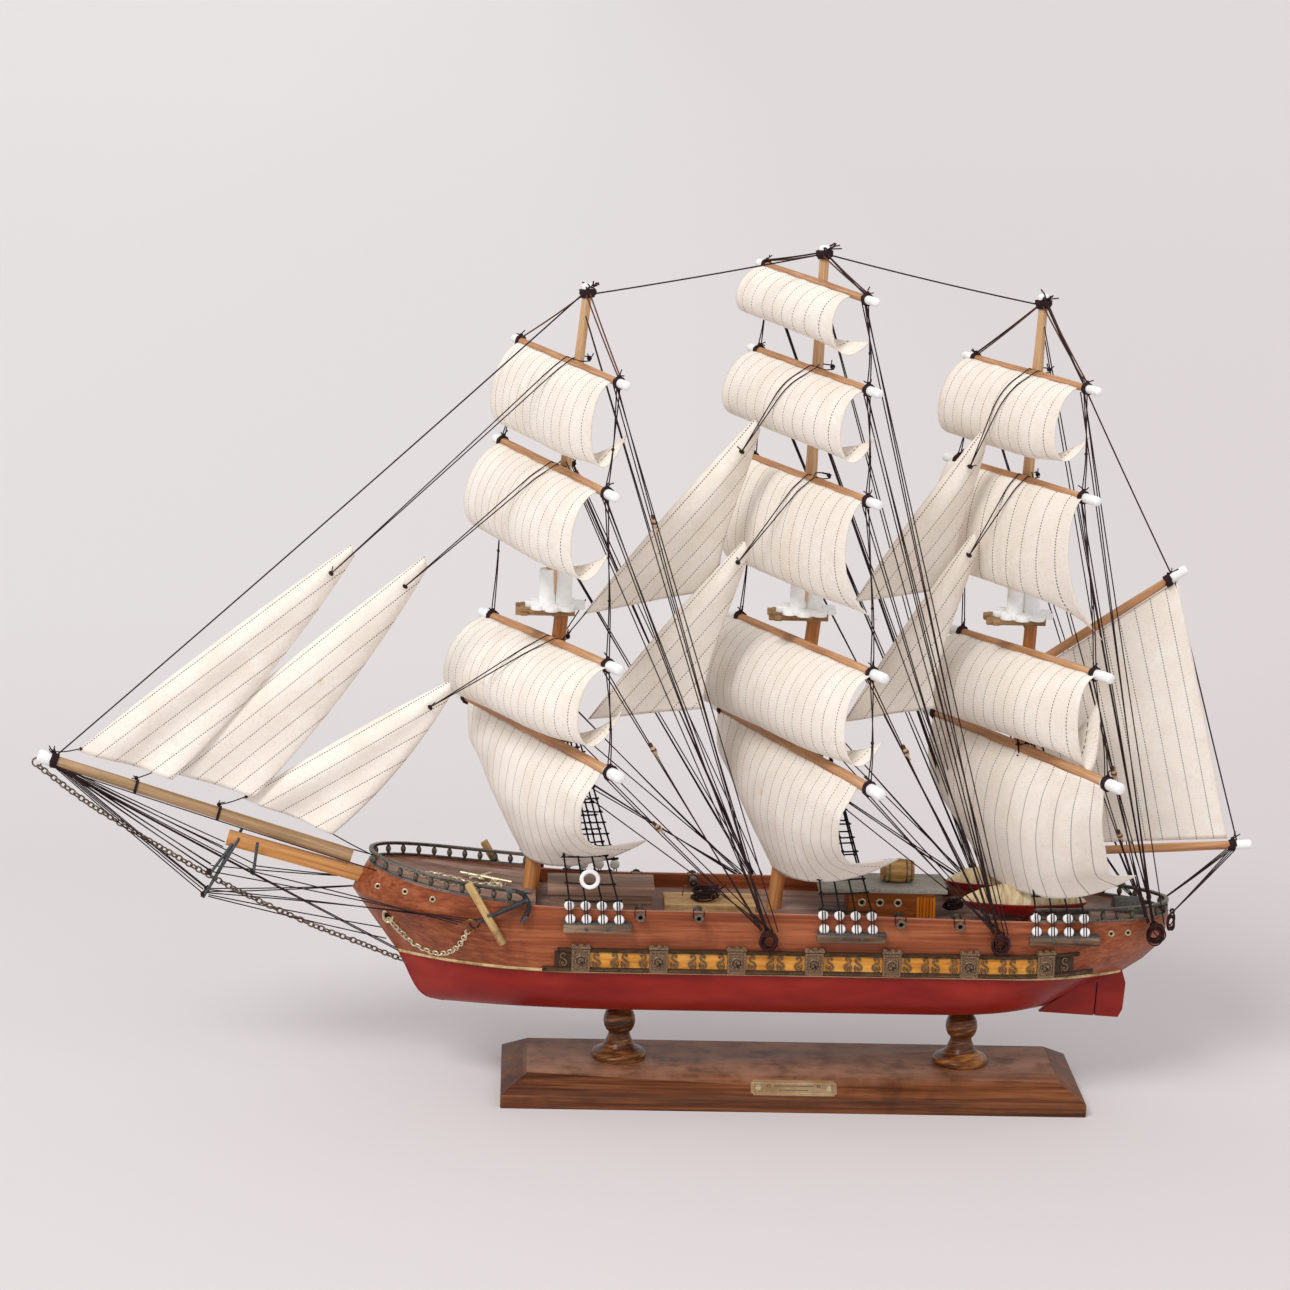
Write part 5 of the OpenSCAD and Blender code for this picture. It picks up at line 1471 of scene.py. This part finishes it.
def make_hanks():
    """Spare thread wound up where the lines of each mast meet, and at each side of the stern."""
    heap = Heap()
    rng = random.Random(55)
    for hx, hy, hz in HANKS:
        for side in SIDES:
            centre = vec(hx, side * (hy + 0.8), hz - 0.5)
            for _ in range(16):
                axis = unit(vec(rng.uniform(-0.35, 0.35), side, rng.uniform(-0.35, 0.35)))
                shift = vec(rng.uniform(-0.7, 0.7), side * rng.uniform(-1.4, 1.6), rng.uniform(-0.7, 0.7))
                heap.ring(centre + shift, axis, rng.uniform(2.8, 5.2), 0.42, 22, 6, rng.uniform(1.0, 1.28))
            heap.coil(centre + vec(-1, 0, 5), vec(-0.2, 0, 1), 2.0, 0.42, 6, 3.4, 0.25, rng.randrange(999))
            for _ in range(3):
                p = centre + vec(rng.uniform(-1, 1), side * 1.6, 3)
                heap.tube(spline([p, p + vec(rng.uniform(-5, 4), side * 1.5, rng.uniform(-1, 2)),
                                  p + vec(rng.uniform(-6, 6), side * 1.4, rng.uniform(-6, -3))], 5), 0.38, 6)
    for side in SIDES:
        centre = vec(218.5, side * 14.5, 110)
        for _ in range(9):
            axis = unit(vec(0.6, side * 0.8, rng.uniform(-0.3, 0.3)))
            middle = centre + vec(0, rng.uniform(-1, 1), rng.uniform(-1, 1))
            heap.ring(middle, axis, rng.uniform(2.0, 3.3), 0.4, 20, 6, 1.6)
    heap.piece("thread_bundles", "hank_thread", "brown_thread", "thread_hanks", angle=60)


def chain_path(points, pitch):
    """Points along a curve at equal distances."""
    curve = spline(points, 40)
    out, left = [curve[0]], pitch
    for a, b in zip(curve, curve[1:]):
        step = np.linalg.norm(b - a)
        while left <= step:
            a = a + unit(b - a) * left
            step = np.linalg.norm(b - a)
            out.append(a)
            left = pitch
        left -= step
    return out


LINK_WIDTH, LINK_WIRE = 2.8, 0.5
GILT_PITCH, BOBSTAY_PITCH = 2.9, 3.3


def add_chain(heap, points, pitch, seed):
    rng = random.Random(seed)
    at = chain_path(points, pitch)
    for k, (p, q) in enumerate(zip(at, at[1:])):
        along = unit(q - p)
        a, b = side_axes(along)
        lean = 0.6 * (1 if k % 2 else -1) * math.pi / 2 + rng.uniform(-0.25, 0.25)
        across = a * math.cos(lean) + b * math.sin(lean)
        half = pitch / 2 + LINK_WIRE * 0.9
        heap.tube(
            [(p + q) / 2 + along * half * math.cos(w) * (1.0 if abs(math.cos(w)) > 0.5 else 1.04)
             + across * LINK_WIDTH / 2 * math.sin(w) for w in (2 * math.pi * i / 16 for i in range(16))],
            LINK_WIRE, 6, True,
        )


# x, level up the topsides and z of the anchor chain's loop
ANCHOR_LOOP = [(-236.8, 0.5, 104.5), (-230, 0.34, 96.5), (-221.5, 0.16, 89), (-211, 0.06, 85.2),
               (-203, 0.08, 86.6), (-196, 0.25, 93)]
DECK_CHAINS = (
    ((-222, -9), (-212, -5), (-200, -6), (-190, -12), (-178, -8), (-170, -2)),
    ((-225, -4), (-214, -11), (-203, -15), (-193, -17), (-182, -15), (-172, -9), (-180, -3)),
)
BOBSTAY = ((-440, 187), (-410, 164.5), (-374, 142.3), (-330, 117), (-284, 95.5), (-255, 84.5), (-236, 77),
           (-224, 73))


def make_chains():
    gold, dark = heaps(2)
    for side in SIDES:
        anchor = vec(-188.5 if side < 0 else -181, side * 42.5, 109)
        path = [vec(x, side * (top_breadth(x, t) + 0.9), z) for x, t, z in ANCHOR_LOOP]
        add_chain(gold, [*path, anchor + vec(-1, 0, -2.4)], GILT_PITCH, 5 + side)
    deck = lambda x, y: vec(x, y, sheer_z(x) + 0.1)
    for k, points in enumerate(DECK_CHAINS):
        add_chain(gold, [deck(*p) for p in points], GILT_PITCH, 9 + k)
    gold.tube([deck(-196, 2) + Z * 2, deck(-166, -5) + Z * 2.2], 0.9, 8)
    gold.tube([deck(-190, -8) + Z * 2.4, deck(-178, 8) + Z * 2.4], 0.9, 8)
    for x, y in ((-190, 1), (-184, -4), (-176, -3), (-181, 3)):
        gold.ring(deck(x, y) + Z * 1.8, vec(0.3, 0.2, 1), 2.0, 0.6, 14, 6)
    gold.piece("gilt_chains", "gilt_metal", "gilt_metal", "anchor_chains", angle=60)
    add_chain(dark, [vec(x, 0, z) for x, z in BOBSTAY], BOBSTAY_PITCH, 11)
    dark.ring(vec(-440.5, 0, 189), Y, 2.6, 0.5)
    dark.piece("bobstay_links", "gun_metal", "dark_metal", "bobstay_chain", angle=60)


# ---- fittings ----


def make_barrel():
    staves, hoops = heaps(2)
    centre = vec(49.5, 0, DECK_Z + 23.6)
    long, count, sides = 19, 13, 6
    half = [(0, 5.7), (0.16, 6.35), (0.35, 6.95)]
    radius = smooth_table(*half, (0.5, 7.1), (0.65, 6.95), (0.84, 6.35), (1, 5.7))

    def ring(t, r, groove=0.0, dx=0.0):
        out = []
        for i in range(count * sides):
            w = 360 * i / (count * sides)
            g = r - (0 if i % sides else groove)
            out.append(centre + vec(long * t + dx, g * cos_deg(w), g * sin_deg(w)))
        return out

    rings = [ring(k / 20, radius(k / 20), 0.16) for k in range(21)]
    staves.skin([ring(0, 5.0, 0, 1.0), ring(0, 5.1), *rings, ring(1, 5.1), ring(1, 5.0, 0, -1.0)], True, 44)
    staves.piece("barrel_staves", "barrel_wood", "light_wood", "barrel", angle=28)
    for t in (0.09, 0.24, 0.76, 0.91):
        r = radius(t)
        hoops.lathe([(r - 0.2, -0.55), (r + 0.16, -0.55), (r + 0.2, 0.55), (r - 0.2, 0.55)],
                    centre + X * long * t, X, 48)
    hoops.piece("barrel_hoops", "gun_metal", "dark_metal")


BOATS = [(95, -17.5, 121.5), (90, 17.5, 123)]
BOAT_LONG = 73


def boat_half(x):
    return 9.6 * max(0.001, math.sin(math.pi * clamp01(x / BOAT_LONG))) ** 0.62


def make_boats():
    hulls, covers, rims = heaps(3)
    rng = random.Random(61)
    steps = 46
    xs = [BOAT_LONG * (1 - cos_deg(180 * k / steps)) / 2 for k in range(steps + 1)]
    ribs = 12 * math.pi
    for bx, by, bz in BOATS:
        rings = []
        for x in xs:
            half = boat_half(x) + 0.02
            ring = []
            for i in range(25):
                w = 180 * i / 24
                lap = 0.22 * (min(i, 24 - i) * 5 / 24 % 1.0) * min(1, half / 4)
                ring.append(vec(bx + x, by - (half - lap) * cos_deg(w), bz - (half - lap) * sin_deg(w)))
            rings.append(ring)
        hulls.skin(rings)
        rings = []
        folds = [(rng.uniform(0, 1), rng.uniform(0.02, 0.045), rng.uniform(0.2, 0.6)) for _ in range(12)]
        for x in xs:
            half = boat_half(x) * 0.97 + 0.02
            t = x / BOAT_LONG
            creases = sum(d * math.exp(-(((t - c) / w) ** 2)) for c, w, d in folds)
            rib = 0.55 * max(0, math.cos(ribs * t)) ** 5 - creases * 0.5
            ring = []
            for i in range(25):
                w = 180 * i / 24
                r = half * 0.96 + (rib - 0.15) * min(1, half / 4) * sin_deg(w) ** 0.7
                sag = 0.84 + 0.12 * math.cos(ribs * t) * sin_deg(w) ** 2
                ring.append(vec(bx + x, by + r * cos_deg(w), bz + 0.2 + r * sin_deg(w) * (1.12 + 0.16 * sag)))
            rings.append(ring)
        covers.skin(rings)
        for side in SIDES:
            rims.tube([vec(bx + x, by + side * (boat_half(x) + 0.1), bz + 0.1) for x in xs[2:-2]], 0.55, 8)
    hulls.piece("boat_planks", "boat_red", "boat_red", "boat_hulls", angle=30)
    covers.piece("boat_canvas", "canvas", "canvas", "boat_covers", angle=60)
    rims.piece("boat_rims", "boat_red", "boat_red")


def stock_point(side, along, up):
    """Point on an anchor's slanted wooden stock."""
    c, s = cos_deg(26), sin_deg(26)
    base = vec(-186.5 if side < 0 else -179, side * (top_breadth(-175, 1) + 4.5), 110.5)
    return base + vec(along * c - up * s, 0, along * s + up * c)


def make_fittings():
    nails, dark, brass, panel, copper, black = heaps(6)
    for c in CHANNELS:
        y = channel_y(c)
        for side in SIDES:
            for share in (0.34, 0.66):
                at = (c[0] + c[1] * share, side * (y + 5.7), c[2] + 2.4)
                nails.lathe([(1.15, 0), (1.2, 0.25), (0.7, 0.55)], at, vec(0, side, 0), 14)
            dark.box((c[0] + c[1] / 2, side * (y + 1.7), c[2] + 5.1), (c[1] + 0.3, 8.0, 0.7), None, 0.25)
    for side in SIDES:
        outward = vec(0, side, 0)
        on_stock = stock_point(side, 9.6, 1.5) + 2.1 * outward
        nails.lathe([(1.0, 0), (1.05, 0.3), (0.5, 0.6)], on_stock, outward, 12)
        ring_at = stock_point(side, -2.6, 0)
        copper.ring(ring_at, vec(0.25, 1, 0.2), 3.6, 0.35, 26, 6)
        copper.ring(ring_at + vec(0.5, side * 0.6, -0.4), vec(-0.2, 1, 0.1), 3.2, 0.32, 26, 6)
    for side in SIDES:
        outward, slanted = vec(0, side, 0), vec(-0.25, side, 0)
        for x, z in ((181.5, 106.5), (192, 106), (-243, 124), (-227, 124), (-211, 121.5)):
            t = (z - strake_z(x)) / (sheer_z(x) - strake_z(x))
            black.lathe([(1.25, 0), (1.2, 0.35)], vec(x, side * (top_breadth(x, t) + 0.15), z), outward, 14)
        at = vec(-237, side * (top_breadth(-237, 0.5) + 0.2), 106)
        # black disc inside the hawse ring: painted shade of the hole
        black.lathe([(2.3, 0), (2.2, 0.3)], at, slanted, 20)
        brass.ring(at + vec(0, side * 0.4, 0), slanted, 2.9, 0.7, 26, 8, 1.35)
        for x in (37.5, 48, 58.5):
            brass.ring((x, side * 14.3, DECK_Z + 8), Y, 2.0, 0.5, 24, 8)
            # black disc in each eyelet: painted shade of its hole
            black.lathe([(1.5, 0), (1.4, 0.25)], (x, side * 14.02, DECK_Z + 8), outward, 16)
    for k in range(6):
        panel.box((70.3 + 1.9 * k, -14.35, DECK_Z + 5.2), (1.6, 0.9, 13.5), None, 0.25)
    # thin black strip in the rudder's kerf: painted shadow in the gap
    kerf = [vec(178.35, 0, 48.2), vec(179.1, 0, 48.2), vec(180.0, 0, 67.6), vec(179.25, 0, 67.6)]
    black.skin([[p + Y * y for p in kerf] for y in (-1.1, 1.1)])
    make_rope_coils()
    for x, y, long in ((-58, -8, 5), (-50, -11, 4), (-66, 2, 5)):
        bent = ((0, 0), (0.5, long), (2.2, long + 1.2), (2.6, long - 0.6))
        copper.tube(spline([vec(x + dx, y, DECK_Z + 5.4 + dz) for dx, dz in bent], 5), 0.34, 6)
    panel.piece("house_panel", "panel_orange", "house_orange")
    nails.piece("nail_heads", "dark_metal", "dark_metal")
    dark.piece("channel_caps", "dark_metal", "weathered_wood")
    brass.piece("brass_rings", "gilt_metal", "gilt_metal")
    copper.piece("copper_wires", "copper", "gilt_metal")
    black.piece("port_holes", "slot_black", "dark_metal")
    make_hood_end()
    make_plate()


def make_rope_coils():
    heap = Heap()
    rng = random.Random(71)
    for cx, cy, cz, size, count in ((-52, -4, DECK_Z + 7.0, 7.5, 11), (92, -2, DECK_Z + 3.0, 5.0, 9)):
        for k in range(count):
            axis = unit(vec(rng.uniform(-0.25, 0.25), rng.uniform(-0.25, 0.25), 1))
            x, y = cx + rng.uniform(-1.4, 1.4), cy + rng.uniform(-1, 1)
            z = cz + 0.45 * k * rng.uniform(0.5, 1)
            heap.ring(vec(x, y, z), axis, size * rng.uniform(0.72, 1.05), 0.5, 30, 6)
        tails(heap, vec(cx + size * 0.7, cy, cz + 2), rng, 4, 9, 0.4, 0.42)
    heap.piece("deck_rope_coils", "brown_thread", "brown_thread", angle=60)


def make_hood_end():
    heap = Heap()
    z = sheer_z(190) - 1.5
    outline = [(6.7 * cos_deg(a), z + 6.7 * sin_deg(a)) for a in range(0, 181, 12)]
    heap.skin([[vec(x, *p) for p in outline] for x in (200.6, 201.4)])
    heap.box((165, -3, sheer_z(165) + 1.2), (7, 6, 5), None, 0.4)
    heap.piece("hood_back_board", "tree_wood", "light_wood")


def make_plate():
    """Raised rim and two plain engraved rules on the brass plate."""
    slope = math.degrees(math.atan2(17 - 7.6, 15))
    c, s = cos_deg(slope), sin_deg(slope)
    place = lambda x, y, z: vec(x, y * c - z * s - 38.5, y * s + z * c + 12.3)
    rim, rules = heaps(2)
    outline = []
    for sx, sy in ((1, 1), (-1, 1), (-1, -1), (1, -1)):
        arc = [(sx * (24.4 - 1.9 * cos_deg(a)), sy * (5.15 - 1.9 * sin_deg(a))) for a in range(0, 91, 15)]
        outline.extend(arc if sx * sy > 0 else arc[::-1])
    rim.tube([place(x, y, 0.62) for x, y in outline], 0.32, 6, True)
    rim.piece("plate_rim", "plate_brass", "plate_brass", angle=60)
    for y, half in ((1.2, 11.5), (-1.8, 8.5)):
        rules.tube([place(-half, y, 0.6), place(half, y, 0.6)], 0.22, 6)
    for x in (-14.5, 14.5):
        rules.ring(place(x, 1.2, 0.6), vec(0, -s, c), 0.9, 0.2, 14, 6)
    rules.piece("plate_rules", "plate_dark", "plate_brass")


def make_slats():
    heap = Heap()
    rng = random.Random(81)
    for i in range(4):
        heap.box((-50.5 + rng.uniform(-0.6, 0.6), -12.1 + 6.4 * i, DECK_Z + 2.1), (53, 5.7, 6.2), None, 0.5)
    heap.piece("slat_boards", "light_wood", "light_wood", "plank_stack")


# CAD node kept, material, width of its softened edges
KEPT = (
    ("stand_base", "walnut", 0.6), ("fore_pedestal", "turned_oak", 0),
    ("aft_pedestal", "turned_oak", 0), ("name_plate", "plate_brass", 0),
    ("plate_screws", "gilt_metal", 0), ("decks", "deck_wood", 0),
    ("rudder_board", "red_paint", 0.3), ("bow_rail", "rail_pewter", 0.2),
    ("stern_rail", "rail_pewter", 0.2), ("bowsprit", "bowsprit_wood", 0.4),
    ("jibboom", "jibboom_wood", 0.4), ("martingale_pins", "dark_metal", 0),
    ("hatch_block", "hatch_wood", 0.4), ("deckhouse", "house_orange", 0.3),
    ("deckhouse_roof", "grey_board", 0.3), ("cannons", "gun_metal", 0),
    ("companion_hood", "hood_grey", 0.3), ("channel_boards", "weathered_wood", 0.4),
    ("anchors", "dark_metal", 0.25), ("anchor_stocks", "stock_wood", 0.3),
    ("eyelets", "gilt_metal", 0), ("life_ring", "white_plastic", 0),
    ("mast_tops", "white_plastic", 0.25), ("crosstrees", "tree_wood", 0.35),
)


# ---- camera, light and floor ----


def make_camera():
    data = bpy.data.cameras.new("camera")
    data.lens = 100
    data.sensor_width = 36
    data.clip_start, data.clip_end = 0.1, 200
    obj = add_object("camera", data)
    right, up, back = (0.9992, -0.0302, 0.0278), (-0.0206, 0.2163, 0.9761), (-0.0355, -0.9759, 0.2155)
    turn = Matrix((right, up, back)).transposed().to_4x4()
    obj.matrix_world = Matrix.Translation((-0.1653, -2.0093, 0.7092)) @ turn
    bpy.context.scene.camera = obj


def make_floor():
    """Pale paper with a painted soft shadow, greyer behind the ship and to its right, and a faint glow of its
    own that is painted light.
    """
    mesh = bpy.data.meshes.new("floor")
    mesh.from_pydata([(-60, -60, 0), (60, -60, 0), (60, 60, 0), (-60, 60, 0)], [], [(0, 1, 2, 3)])
    # the paper glows faintly, painted light that pales the shadows on it
    s = Shade("floor_paper", Roughness=0.8, Emission_Strength=0.16)
    aside, back, _ = s.parts(s.coordinates("Object"))
    # painted shadow: greyer in a band behind the ship, and darker towards its right
    grey = s.ramp(s.math("MULTIPLY_ADD", back, 0.1, 0.1), (0.07, "#CBC7C7"), (0.107, "#CAC5C6"),
                  (0.145, "#C4BFBF"), (0.232, "#C9C5C5"), (0.95, "#CBC8C8"))
    shade = s.ramp(s.math("MULTIPLY_ADD", aside, 0.6, 0.6), (0.05, "#FFFFFF"), (0.5, "#FDFCFC"),
                   (0.95, "#F7F4F4"))
    grey = s.mix(1.0, grey, shade, "MULTIPLY")
    s.set("Base Color", grey)
    s.set("Emission Color", grey)
    mesh.materials.append(s.mat)
    add_object("floor", mesh)


def make_light():
    """Soft studio room, one broad sun and one weak one."""
    world = bpy.data.worlds.new("studio")
    bpy.context.scene.world = world
    world.use_nodes = True
    tree = world.node_tree
    where, split, spread, ramp = (
        tree.nodes.new("ShaderNode" + kind) for kind in ("TexCoord", "SeparateXYZ", "MapRange", "ValToRGB")
    )
    spread.inputs["From Min"].default_value = -1
    background = tree.nodes["Background"]
    background.inputs["Strength"].default_value = 0.9
    for source, target in (
        (where.outputs["Generated"], split.inputs[0]), (split.outputs[2], spread.inputs["Value"]),
        (spread.outputs[0], ramp.inputs[0]), (ramp.outputs[0], background.inputs[0]),
    ):
        tree.links.new(source, target)
    levels = ((0.0, 0.55), (0.5, 0.74), (0.62, 0.62), (1.0, 0.95))
    set_stops(ramp.color_ramp, [(place, (level, level * 0.985, level * 0.985, 1)) for place, level in levels])
    for name, power, angle, turn in (("key", 1.65, 22, (42, 0, -36)), ("fill", 0.35, 60, (55, 0, 50))):
        sun = bpy.data.lights.new(name, "SUN")
        sun.energy = power
        sun.angle = math.radians(angle)
        add_object(name, sun).rotation_euler = [math.radians(a) for a in turn]
    bpy.context.scene.view_settings.view_transform = "Standard"


make_camera()
make_floor()
make_light()
MATERIALS = make_materials()
for kept_row in KEPT:
    dress(*kept_row)
make_hull()
make_frieze()
make_spars()
make_tips()
make_sails()
make_shrouds()
make_lashings()
make_stays()
make_running()
make_hanks()
make_chains()
make_barrel()
make_boats()
make_slats()
make_fittings()
